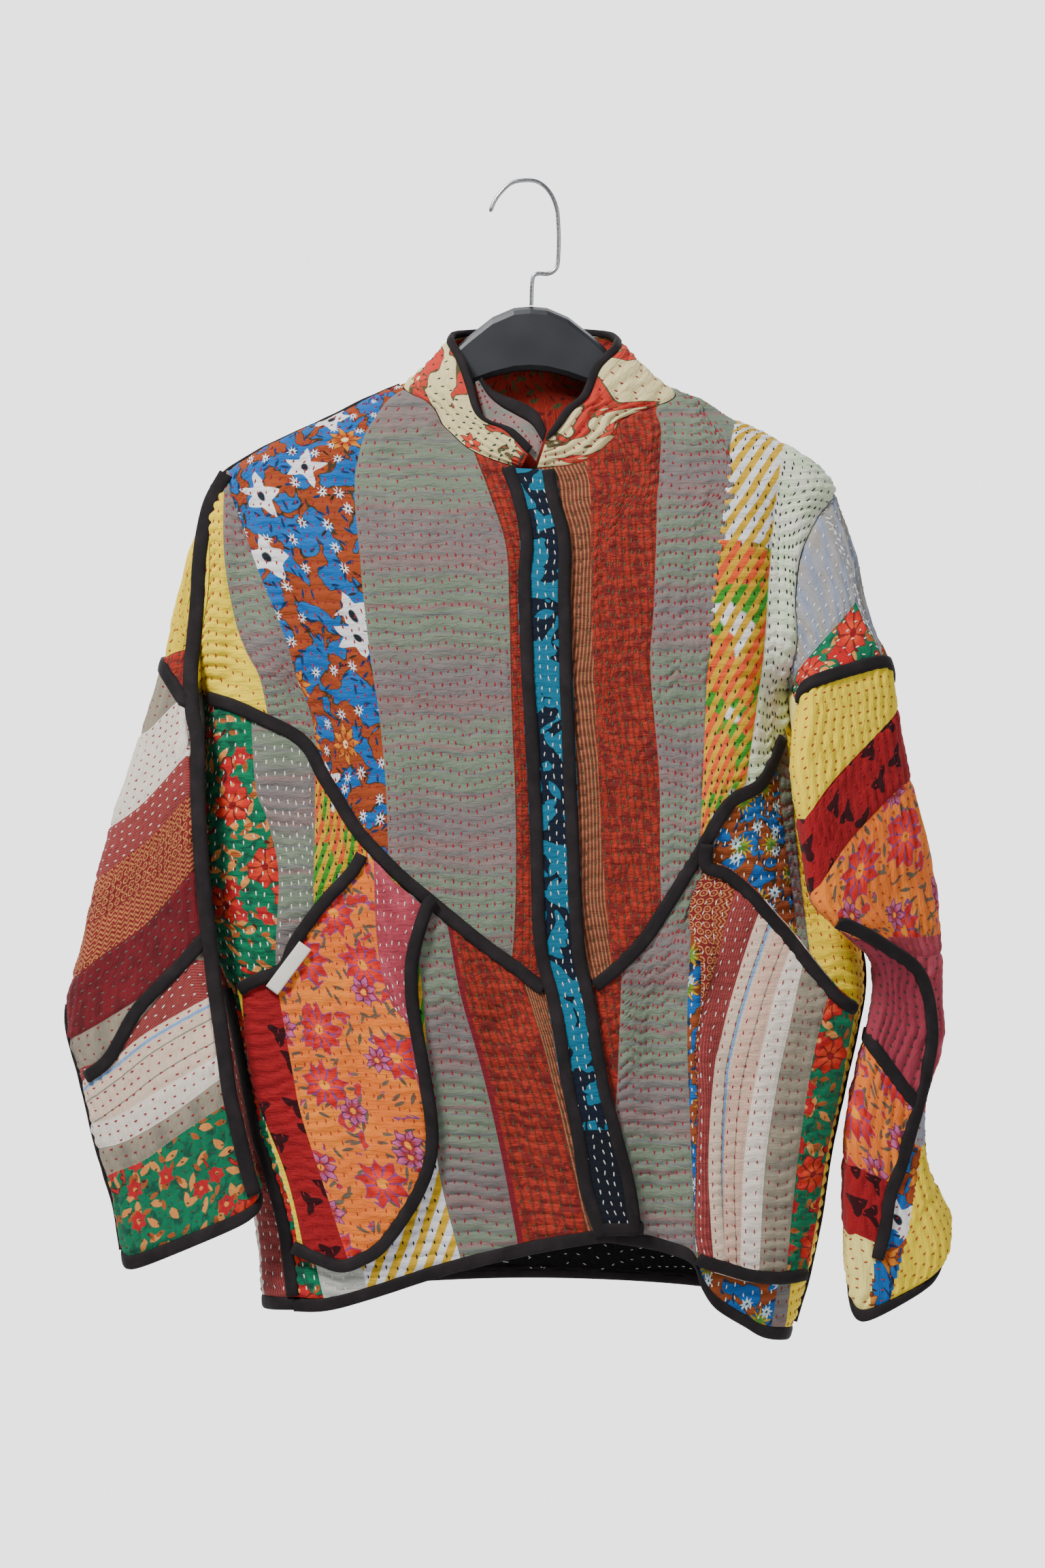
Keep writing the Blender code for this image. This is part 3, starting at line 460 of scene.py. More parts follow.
def even_places(places: Array, count: int) -> Array:
    """Even steps along body map places, by their true lengths."""
    return even(places * MAP_SCALE, count) / MAP_SCALE


def cloth_line(places: Line, count: int) -> Array:
    """Even steps along body map places, with a half turn counted as the body's girth."""
    stretched = np.array(places, float) * (GIRTH, 1.0)
    return smooth(stretched, count) / (GIRTH, 1.0)


def corners(grid: Array) -> Array:
    """The four corners of each cell of a grid, in order round the cell."""
    return np.stack([grid[:-1, :-1], grid[:-1, 1:], grid[1:, 1:], grid[1:, :-1]], axis=2)


def joined(*lines: Array) -> Array:
    """One line from several that share their ends."""
    return np.vstack([lines[0]] + [line[1:] for line in lines[1:]])


def coons(top: Array, foot: Array, start: Array, end: Array) -> Array:
    """Fill four edges that share their corners with a grid, rows from top to foot."""
    v = np.linspace(0, 1, len(start))[:, None, None]
    u = np.linspace(0, 1, len(top))[None, :, None]
    return ((1 - v) * top[None] + v * foot[None] + (1 - u) * start[:, None] + u * end[:, None]
            - (1 - u) * (1 - v) * top[0] - u * (1 - v) * top[-1] - (1 - u) * v * foot[0] - u * v * foot[-1])


def inside(outline: Line, x: Array, z: Array) -> Array:
    """Whether each point (x, z) lies in an outline seen from the front."""
    found = np.zeros(x.shape, bool)
    for (x0, z0), (x1, z1) in zip(outline, list(outline[1:]) + [outline[0]]):
        crosses = (z0 > z) != (z1 > z)
        rise = np.where(np.abs(z1 - z0) < 1e-9, 1e-9, z1 - z0)
        found ^= crosses & (x < (x1 - x0) * (z - z0) / rise + x0)
    return found


def normals_of(surface: Surface, grid: Array, outward: int) -> Array:
    """The surface's outward directions at a grid of places."""
    u, v = grid[..., 0], grid[..., 1]
    du, dv = 1e-4, 1e-2
    along = surface(u + du, v) - surface(u - du, v)
    down = surface(u, v + dv) - surface(u, v - dv)
    cross = np.cross(along, down)
    return outward * cross / np.maximum(np.linalg.norm(cross, axis=-1, keepdims=True), 1e-12)


def noise(u: Array, v: Array, seed: int) -> Array:
    """Smooth value noise from -1 to 1 on a unit lattice, the same each run.

    Args:
        u: First coordinate, in lattice steps.
        v: Second coordinate, in lattice steps.
        seed: Picks one of many such fields.

    Returns:
        The noise, in the coordinates' shape.
    """
    i, j = np.floor(u).astype(np.int64), np.floor(v).astype(np.int64)
    fu, fv = u - i, v - j
    fu, fv = fu * fu * (3 - 2 * fu), fv * fv * (3 - 2 * fv)

    def corner(a: Array, b: Array) -> Array:
        """A fixed random number for a lattice corner."""
        mixed = (a * 374761393 + b * 668265263 + seed * 974634777) & 0xFFFFFFFF
        mixed = ((mixed ^ (mixed >> 13)) * 1274126177) & 0xFFFFFFFF
        return ((mixed ^ (mixed >> 16)) & 0xFFFF) / 32767.5 - 1

    low = corner(i, j) * (1 - fu) + corner(i + 1, j) * fu
    high = corner(i, j + 1) * (1 - fu) + corner(i + 1, j + 1) * fu
    return low * (1 - fv) + high * fv


def linear(colour: str) -> tuple[float, float, float, float]:
    """Turn an sRGB hex colour to linear light."""
    parts = [int(colour[k:k + 2], 16) / 255 for k in (1, 3, 5)]
    r, g, b = (p / 12.92 if p <= 0.04045 else ((p + 0.055) / 1.055) ** 2.4 for p in parts)
    return (r, g, b, 1.0)


def feed(tree: bpy.types.NodeTree, node: bpy.types.Node, inputs: dict[Any, Any]) -> None:
    """Set or link a node's inputs.

    Args:
        tree: The tree that holds the node.
        node: The node.
        inputs: What each input gets, by its name or number: a value, an sRGB hex colour, a socket to link, or
            a node, which stands for its first output in use.
    """
    for name, source in inputs.items():
        if isinstance(source, bpy.types.Node):
            source = next(output for output in source.outputs if output.enabled)
        if isinstance(source, bpy.types.NodeSocket):
            tree.links.new(source, node.inputs[name])
        else:
            node.inputs[name].default_value = linear(source) if isinstance(source, str) else source


def add_node(tree: bpy.types.NodeTree, kind: str, inputs: dict[Any, Any], **settings: Any) -> bpy.types.Node:
    """Add a node with its settings and links.

    Args:
        tree: The tree that gets the node.
        kind: The node's type, without the ShaderNode that it begins with.
        inputs: What its inputs get, as feed() takes it.
        settings: The node's own properties.

    Returns:
        The new node.
    """
    node = tree.nodes.new("ShaderNode" + kind)
    for name, value in settings.items():
        setattr(node, name, value)
    feed(tree, node, inputs)
    return node


@dataclass(frozen=True)
class Motif:
    """Something printed or woven over a cotton's ground, repeated every so many millimetres."""

    every_mm: float

    def lay(self, tree: bpy.types.NodeTree, cloth: Any, below: Any) -> Any:
        """Lay the motif over a colour.

        Args:
            tree: The material's tree.
            cloth: The cloth's place in millimetres.
            below: The colour under it.

        Returns:
            The colour with the motif.
        """
        raise NotImplementedError


@dataclass(frozen=True)
class Flowers(Motif):
    """Flowers scattered over printed cotton: petals, a centre and a thin drawn outline."""

    radius_mm: float
    petals: float
    colour: str
    heart: str
    outline: str = ""
    share: float = 0.75
    seed: float = 0.0
    notch: float = 0.42
    shade: str = ""

    def lay(self, tree: bpy.types.NodeTree, cloth: Any, below: Any) -> Any:
        """Petals with a drawn outline, then the centres."""
        scaled = add_node(tree, "VectorMath", {0: cloth, 1: (1 / self.every_mm,) * 3,
                                               2: (self.seed, self.seed * 0.7, 0)}, operation="MULTIPLY_ADD")
        warp = add_node(tree, "TexNoise", {"Vector": scaled, "Scale": 2.6, "Detail": 2.0})
        lean = add_node(tree, "VectorMath", {0: warp.outputs["Color"], 1: (0.16, 0.16, 0), 2: scaled},
                        operation="MULTIPLY_ADD")
        cells = add_node(tree, "TexVoronoi", {"Vector": lean, "Scale": 1.0, "Randomness": 0.8},
                         voronoi_dimensions="2D")
        local = add_node(tree, "VectorMath", {0: lean, 1: cells.outputs["Position"]}, operation="SUBTRACT")
        x, y = add_node(tree, "SeparateXYZ", {0: local}).outputs[:2]
        chance, spin = add_node(tree, "SeparateColor", {0: cells.outputs["Color"]}).outputs[:2]
        angle = add_node(tree, "Math", {0: y, 1: x}, operation="ARCTAN2")
        turn = add_node(tree, "Math", {0: angle, 1: self.petals / 2, 2: spin}, operation="MULTIPLY_ADD")
        wave = add_node(tree, "Math", {0: turn}, operation="SINE")
        lobe = add_node(tree, "Math", {0: wave}, operation="ABSOLUTE")
        reach = self.radius_mm / self.every_mm
        rim = add_node(tree, "Math", {0: lobe, 1: -self.notch * reach, 2: reach}, operation="MULTIPLY_ADD")
        away = add_node(tree, "Math", {0: cells, 1: rim}, operation="SUBTRACT")
        shown = add_node(tree, "Math", {0: chance, 1: self.share}, operation="LESS_THAN")
        soft = 0.35 / self.every_mm
        inside = add_node(tree, "MapRange", {0: away, 1: soft, 2: -soft}, interpolation_type="SMOOTHSTEP")
        petal = add_node(tree, "Math", {0: inside, 1: shown}, operation="MULTIPLY")
        colour: Any = self.colour
        if self.shade:
            streak = add_node(tree, "MapRange", {0: cells, 1: reach * 0.25, 2: reach * 0.75},
                              interpolation_type="SMOOTHSTEP")
            colour = add_node(tree, "Mix", {0: streak, 6: self.shade, 7: self.colour}, data_type="RGBA")
        if self.outline:
            wide = add_node(tree, "MapRange", {0: away, 1: 3.2 * soft, 2: 1.6 * soft},
                            interpolation_type="SMOOTHSTEP")
            edge = add_node(tree, "Math", {0: wide, 1: shown}, operation="MULTIPLY")
            below = add_node(tree, "Mix", {0: edge, 6: below, 7: self.outline}, data_type="RGBA")
            groove = add_node(tree, "MapRange", {0: lobe, 1: 0.9, 2: 0.99}, interpolation_type="SMOOTHSTEP")
            colour = add_node(tree, "Mix", {0: groove, 6: colour, 7: self.outline}, data_type="RGBA")
        result = add_node(tree, "Mix", {0: petal, 6: below, 7: colour}, data_type="RGBA")
        middle = add_node(tree, "MapRange", {0: cells, 1: reach * 0.24, 2: reach * 0.16},
                          interpolation_type="SMOOTHSTEP")
        heart = add_node(tree, "Math", {0: middle, 1: shown}, operation="MULTIPLY")
        return add_node(tree, "Mix", {0: heart, 6: result, 7: self.heart}, data_type="RGBA")


@dataclass(frozen=True)
class Leaves(Motif):
    """Pointed leaves scattered over printed cotton, each turned its own way."""

    length_mm: float
    width_mm: float
    colour: str
    seed: float = 0.0
    share: float = 0.8

    def lay(self, tree: bpy.types.NodeTree, cloth: Any, below: Any) -> Any:
        """Each leaf, turned by its own chance."""
        scaled = add_node(tree, "VectorMath", {0: cloth, 1: (1 / self.every_mm,) * 3,
                                               2: (self.seed, self.seed * 1.3, 0)}, operation="MULTIPLY_ADD")
        cells = add_node(tree, "TexVoronoi", {"Vector": scaled, "Scale": 1.0, "Randomness": 1.0},
                         voronoi_dimensions="2D")
        local = add_node(tree, "VectorMath", {0: scaled, 1: cells.outputs["Position"]}, operation="SUBTRACT")
        chance, spin = add_node(tree, "SeparateColor", {0: cells.outputs["Color"]}).outputs[:2]
        turn = add_node(tree, "Math", {0: spin, 1: math.tau}, operation="MULTIPLY")
        turned = add_node(tree, "VectorRotate", {"Vector": local, "Angle": turn}, rotation_type="Z_AXIS")
        x, y = add_node(tree, "SeparateXYZ", {0: turned}).outputs[:2]
        across = add_node(tree, "Math", {0: y}, operation="ABSOLUTE")
        square = add_node(tree, "Math", {0: x, 1: 2.0}, operation="POWER")
        half_length, half_width = self.length_mm / 2 / self.every_mm, self.width_mm / 2 / self.every_mm
        taper = add_node(tree, "Math", {0: square, 1: -half_width / half_length**2, 2: half_width},
                         operation="MULTIPLY_ADD")
        away = add_node(tree, "Math", {0: across, 1: taper}, operation="SUBTRACT")
        shown = add_node(tree, "Math", {0: chance, 1: self.share}, operation="LESS_THAN")
        soft = 0.3 / self.every_mm
        inside = add_node(tree, "MapRange", {0: away, 1: soft, 2: -soft}, interpolation_type="SMOOTHSTEP")
        leaf = add_node(tree, "Math", {0: inside, 1: shown}, operation="MULTIPLY")
        return add_node(tree, "Mix", {0: leaf, 6: below, 7: self.colour}, data_type="RGBA")


@dataclass(frozen=True)
class Blots(Motif):
    """Large soft-edged areas of a second colour, with a dark line at their edge if one is named."""

    colour: str
    cover: float = 0.5
    edge: str = ""
    seed: float = 0.0
    sharp: float = 0.012

    def lay(self, tree: bpy.types.NodeTree, cloth: Any, below: Any) -> Any:
        """The areas, then their dark line."""
        moved = add_node(tree, "VectorMath", {0: cloth, 1: (1 / self.every_mm,) * 3,
                                              2: (self.seed * 3.1, self.seed, 0)}, operation="MULTIPLY_ADD")
        cloud = add_node(tree, "TexNoise", {"Vector": moved, "Scale": 1.0, "Detail": 2.0, "Roughness": 0.45,
                                            "Distortion": 0.6})
        level = 0.75 - 0.5 * self.cover
        inside = add_node(tree, "MapRange", {0: cloud, 1: level - self.sharp, 2: level + self.sharp},
                          interpolation_type="SMOOTHSTEP")
        result = add_node(tree, "Mix", {0: inside, 6: below, 7: self.colour}, data_type="RGBA")
        if self.edge:
            away = add_node(tree, "Math", {0: cloud, 1: level}, operation="SUBTRACT")
            near = add_node(tree, "Math", {0: away}, operation="ABSOLUTE")
            line = add_node(tree, "MapRange", {0: near, 1: 0.016, 2: 0.008}, interpolation_type="SMOOTHSTEP")
            result = add_node(tree, "Mix", {0: line, 6: result, 7: self.edge}, data_type="RGBA")
        return result


@dataclass(frozen=True)
class Stripes(Motif):
    """Printed or woven stripes, turned by so many degrees, with a share of each repeat filled."""

    fill: float
    colour: str
    turn: float = 0.0
    sharp: float = 0.04
    wobble: float = 0.0
    start_mm: float = 0.0

    def lay(self, tree: bpy.types.NodeTree, cloth: Any, below: Any) -> Any:
        """The stripes, which wander where wobble says."""
        turned = add_node(tree, "VectorRotate", {"Vector": cloth, "Angle": math.radians(self.turn)},
                          rotation_type="Z_AXIS")
        value = add_node(tree, "SeparateXYZ", {0: turned})
        if self.wobble:
            drift = add_node(tree, "TexNoise", {"Vector": cloth, "Scale": 0.03, "Detail": 1.0})
            value = add_node(tree, "Math", {0: drift, 1: self.wobble, 2: value}, operation="MULTIPLY_ADD")
        shifted = add_node(tree, "Math", {0: value, 1: self.start_mm}, operation="ADD")
        saw = add_node(tree, "Math", {0: shifted, 1: self.every_mm / 2}, operation="PINGPONG")
        edge = self.every_mm / 2 * self.fill
        soft = self.every_mm * self.sharp
        inside = add_node(tree, "MapRange", {0: saw, 1: edge + soft, 2: edge - soft},
                          interpolation_type="SMOOTHSTEP")
        return add_node(tree, "Mix", {0: inside, 6: below, 7: self.colour}, data_type="RGBA")


@dataclass(frozen=True)
class Rings(Motif):
    """Small printed rings in rows, with a dot in each."""

    radius_mm: float
    line_mm: float
    colour: str

    def lay(self, tree: bpy.types.NodeTree, cloth: Any, below: Any) -> Any:
        """The rings and their dots."""
        scaled = add_node(tree, "VectorMath", {0: cloth, "Scale": 1 / self.every_mm}, operation="SCALE")
        cells = add_node(tree, "TexVoronoi", {"Vector": scaled, "Scale": 1.0, "Randomness": 0.12},
                         voronoi_dimensions="2D")
        away = add_node(tree, "Math", {0: cells, 1: self.radius_mm / self.every_mm}, operation="SUBTRACT")
        near = add_node(tree, "Math", {0: away}, operation="ABSOLUTE")
        line = self.line_mm / self.every_mm
        ring = add_node(tree, "MapRange", {0: near, 1: line, 2: line * 0.5}, interpolation_type="SMOOTHSTEP")
        dot = add_node(tree, "MapRange", {0: cells, 1: line * 1.1, 2: line * 0.6},
                       interpolation_type="SMOOTHSTEP")
        both = add_node(tree, "Math", {0: ring, 1: dot}, operation="MAXIMUM")
        return add_node(tree, "Mix", {0: both, 6: below, 7: self.colour}, data_type="RGBA")


@dataclass(frozen=True)
class Zigzags(Motif):
    """Printed zigzag lines that run along the strip, side by side in a band of its width."""

    swing_mm: float
    length_mm: float
    colour: str
    first_mm: float
    last_mm: float
    ground: str

    def lay(self, tree: bpy.types.NodeTree, cloth: Any, below: Any) -> Any:
        """The lines on their own ground, between first_mm and last_mm across the strip."""
        x, y = add_node(tree, "SeparateXYZ", {0: cloth}).outputs[:2]
        swing = add_node(tree, "Math", {0: y, 1: self.length_mm / 2}, operation="PINGPONG")
        moved = add_node(tree, "Math", {0: swing, 1: 2 * self.swing_mm / self.length_mm, 2: x},
                         operation="MULTIPLY_ADD")
        saw = add_node(tree, "Math", {0: moved, 1: self.every_mm / 2}, operation="PINGPONG")
        line = add_node(tree, "MapRange", {0: saw, 1: self.every_mm * 0.27, 2: self.every_mm * 0.2},
                        interpolation_type="SMOOTHSTEP")
        drawn = add_node(tree, "Mix", {0: line, 6: self.ground, 7: self.colour}, data_type="RGBA")
        after = add_node(tree, "MapRange", {0: x, 1: self.first_mm - 0.4, 2: self.first_mm + 0.4},
                         interpolation_type="SMOOTHSTEP")
        before = add_node(tree, "MapRange", {0: x, 1: self.last_mm + 0.4, 2: self.last_mm - 0.4},
                          interpolation_type="SMOOTHSTEP")
        both = add_node(tree, "Math", {0: after, 1: before}, operation="MULTIPLY")
        return add_node(tree, "Mix", {0: both, 6: below, 7: drawn}, data_type="RGBA")


@dataclass(frozen=True)
class Finish:
    """What a piece is made of. Each kind of finish says what its shader's sockets get."""

    name: str

    def build(self) -> bpy.types.Material:
        """Make the material.

        Returns:
            The finished material.
        """
        material = bpy.data.materials.new(self.name)
        material.use_nodes = True
        tree = material.node_tree
        feed(tree, tree.nodes["Principled BSDF"], self.sockets(tree))
        return material

    def sockets(self, tree: bpy.types.NodeTree) -> dict[str, Any]:
        """Draw the finish.

        Args:
            tree: The material's tree.

        Returns:
            What each of the shader's sockets gets, by name.
        """
        raise NotImplementedError


@dataclass(frozen=True)
class Cotton(Finish):
    """Old plain-weave cotton, washed soft: matt with a faint fuzz at grazing angles, faded unevenly.

    Prints are laid in order over the ground colour. The weave's threads stand 0.35 mm apart in the real cloth
    and are drawn 0.9 mm apart, as coarse as they need to be to show.
    """

    ground: str
    prints: tuple[Motif, ...] = ()
    fade: float = 0.16
    weave_mm: float = 0.9
    weave_depth: float = 0.10
    crease: float = 0.5
    roughness: float = 0.88
    heather: float = 0.0

    def sockets(self, tree: bpy.types.NodeTree) -> dict[str, Any]:
        """The faded prints over the ground, and the relief of weave and puckers."""
        cloth = add_node(tree, "UVMap", {}, uv_map="cloth")
        colour = add_node(tree, "RGB", {})
        colour.outputs[0].default_value = linear(self.ground)
        for layer in self.prints:
            colour = layer.lay(tree, cloth, colour)
        patches = add_node(tree, "TexNoise", {"Vector": cloth, "Scale": 0.035, "Detail": 3.0,
                                              "Roughness": 0.6})
        worn = add_node(tree, "MapRange", {0: patches, 1: 0.3, 2: 0.7, 3: 1 - self.fade,
                                           4: 1 + self.fade * 0.6})
        fleck = add_node(tree, "TexNoise", {"Vector": cloth, "Scale": 0.9, "Detail": 2.0, "Roughness": 0.7})
        flecked = add_node(tree, "MapRange", {0: fleck, 1: 0.3, 2: 0.7, 3: 0.93 - self.heather,
                                              4: 1.05 + self.heather})
        both = add_node(tree, "Math", {0: worn, 1: flecked}, operation="MULTIPLY")
        tinted = add_node(tree, "VectorMath", {0: colour, "Scale": both}, operation="SCALE")
        weave = {"Vector": cloth, "Scale": math.tau / self.weave_mm / 20, "Distortion": 1.2, "Detail": 1.0}
        warp = add_node(tree, "TexWave", weave, bands_direction="X")
        weft = add_node(tree, "TexWave", weave, bands_direction="Y")
        woven = add_node(tree, "Math", {0: warp.outputs["Fac"], 1: weft.outputs["Fac"]},
                         operation="MULTIPLY")
        squeezed = add_node(tree, "VectorMath", {0: cloth, 1: (0.09, 0.42, 1.0)}, operation="MULTIPLY")
        puckers = add_node(tree, "TexNoise", {"Vector": squeezed, "Scale": 1.0, "Detail": 3.0,
                                              "Roughness": 0.62, "Distortion": 0.7})
        deep = add_node(tree, "Bump", {"Height": puckers, "Strength": self.crease, "Distance": 0.0036})
        fine = add_node(tree, "Bump", {"Height": woven, "Normal": deep, "Strength": 0.6,
                                       "Distance": self.weave_depth * MM})
        return {"Base Color": tinted, "Normal": fine, "Roughness": self.roughness, "IOR": 1.46,
                "Specular IOR Level": 0.12, "Sheen Weight": 0.04, "Sheen Roughness": 0.6}


@dataclass(frozen=True)
class BiasTape(Finish):
    """Black cotton bias tape: a tight diagonal weave, nearly matt, a little brown from wear on its folds."""

    name: str = "bias_tape_black_cotton"
    colour: str = "#181415"
    worn: str = "#231e1f"
    twill_mm: float = 0.8

    def sockets(self, tree: bpy.types.NodeTree) -> dict[str, Any]:
        """The worn black, and the relief of twill and soft folds."""
        cloth = add_node(tree, "UVMap", {}, uv_map="cloth")
        wear = add_node(tree, "TexNoise", {"Vector": cloth, "Scale": 0.06, "Detail": 3.0})
        shade = add_node(tree, "MapRange", {0: wear, 1: 0.35, 2: 0.75}, interpolation_type="SMOOTHSTEP")
        colour = add_node(tree, "Mix", {0: shade, 6: self.colour, 7: self.worn}, data_type="RGBA")
        turned = add_node(tree, "VectorRotate", {"Vector": cloth, "Angle": math.radians(45)},
                          rotation_type="Z_AXIS")
        twill = add_node(tree, "TexWave", {"Vector": turned, "Scale": math.tau / self.twill_mm / 20,
                                           "Distortion": 0.8})
        folds = add_node(tree, "TexNoise", {"Vector": cloth, "Scale": 0.22, "Detail": 2.0})
        deep = add_node(tree, "Bump", {"Height": folds, "Strength": 0.35, "Distance": 0.001})
        fine = add_node(tree, "Bump", {"Height": twill.outputs["Fac"], "Normal": deep, "Strength": 0.4,
                                       "Distance": 0.00008})
        return {"Base Color": colour, "Normal": fine, "Roughness": 0.8, "Specular IOR Level": 0.15,
                "Sheen Weight": 0.02, "Sheen Roughness": 0.5}


@dataclass(frozen=True)
class SewingThread(Finish):
    """Two-ply cotton thread: matt, and rounded enough to catch the light along its top."""

    colour: str

    def sockets(self, tree: bpy.types.NodeTree) -> dict[str, Any]:
        """The colour, lighter and darker along the thread's twist."""
        place = add_node(tree, "TexCoord", {})
        twist = add_node(tree, "TexNoise", {"Vector": place.outputs["Object"], "Scale": 900.0, "Detail": 1.0})
        shade = add_node(tree, "MapRange", {0: twist, 1: 0.3, 2: 0.7, 3: 0.82, 4: 1.08})
        colour = add_node(tree, "RGB", {})
        colour.outputs[0].default_value = linear(self.colour)
        tinted = add_node(tree, "VectorMath", {0: colour, "Scale": shade}, operation="SCALE")
        return {"Base Color": tinted, "Roughness": 0.7, "Specular IOR Level": 0.2, "Sheen Weight": 0.04}


@dataclass(frozen=True)
class MouldedPlastic(Finish):
    """Moulded polystyrene with a spark-eroded skin: blue-black, satin, with soft wide highlights."""

    name: str = "moulded_polystyrene_blue_black"
    colour: str = "#15171c"
    clouded: str = "#191c22"

    def sockets(self, tree: bpy.types.NodeTree) -> dict[str, Any]:
        """The clouded colour and shine, and the skin's fine grain."""
        place = add_node(tree, "TexCoord", {}).outputs["Object"]
        skin = add_node(tree, "TexNoise", {"Vector": place, "Scale": 1600.0, "Detail": 2.0})
        cloud = add_node(tree, "TexNoise", {"Vector": place, "Scale": 22.0, "Detail": 2.0})
        rough = add_node(tree, "MapRange", {0: cloud, 1: 0.3, 2: 0.7, 3: 0.42, 4: 0.55})
        shade = add_node(tree, "Mix", {0: cloud, 6: self.colour, 7: self.clouded}, data_type="RGBA")
        grain = add_node(tree, "Bump", {"Height": skin, "Strength": 0.25, "Distance": 0.0001})
        return {"Base Color": shade, "Roughness": rough, "Normal": grain, "IOR": 1.58}


@dataclass(frozen=True)
class BrushedSteelWire(Finish):
    """Drawn steel wire, nickel plated: fine lines along its length blur the highlight round the bend."""

    name: str = "drawn_steel_wire"
    colour: str = "#8f9092"
    bright: str = "#b9babc"

    def sockets(self, tree: bpy.types.NodeTree) -> dict[str, Any]:
        """The metal's colour and shine, which vary with its fine lines."""
        place = add_node(tree, "TexCoord", {}).outputs["Object"]
        lines = add_node(tree, "TexNoise", {"Vector": place, "Scale": 700.0, "Detail": 2.0})
        rough = add_node(tree, "MapRange", {0: lines, 1: 0.3, 2: 0.7, 3: 0.22, 4: 0.38})
        colour = add_node(tree, "Mix", {0: lines, 6: self.colour, 7: self.bright}, data_type="RGBA")
        return {"Base Color": colour, "Roughness": rough, "Metallic": 1.0}


@dataclass(frozen=True)
class PaleGround(Finish):
    """Matt painted board for the floor: plain, with no pattern to draw the eye."""

    name: str = "matt_painted_board"
    colour: str = "#e3e3e5"

    def sockets(self, tree: bpy.types.NodeTree) -> dict[str, Any]:
        """One even colour."""
        return {"Base Color": self.colour, "Roughness": 0.9}


class Thread(Enum):
    """The quilting threads."""

    WHITE = SewingThread("cotton_thread_white", "#d2cec2")
    RED = SewingThread("cotton_thread_red", "#881524")
    BLACK = SewingThread("cotton_thread_black", "#161515")
    RUST = SewingThread("cotton_thread_rust", "#91301e")
    GREEN = SewingThread("cotton_thread_green", "#1e362f")
    GREY = SewingThread("cotton_thread_grey", "#545249")
    OLIVE = SewingThread("cotton_thread_olive", "#47452b")


SAGE = "#697362"
LILAC = "#6e6563"
SAGE_BANDS = (
    Stripes(96, 0.42, LILAC, 90, 0.16, 26, 8),
    Stripes(96, 0.16, "#756662", 90, 0.07, 26, 20),
    Stripes(31, 0.10, "#76625e", 90, 0.03, 12, 5),
    Stripes(13, 0.12, "#656664", 90, 0.05, 9, 2),
)


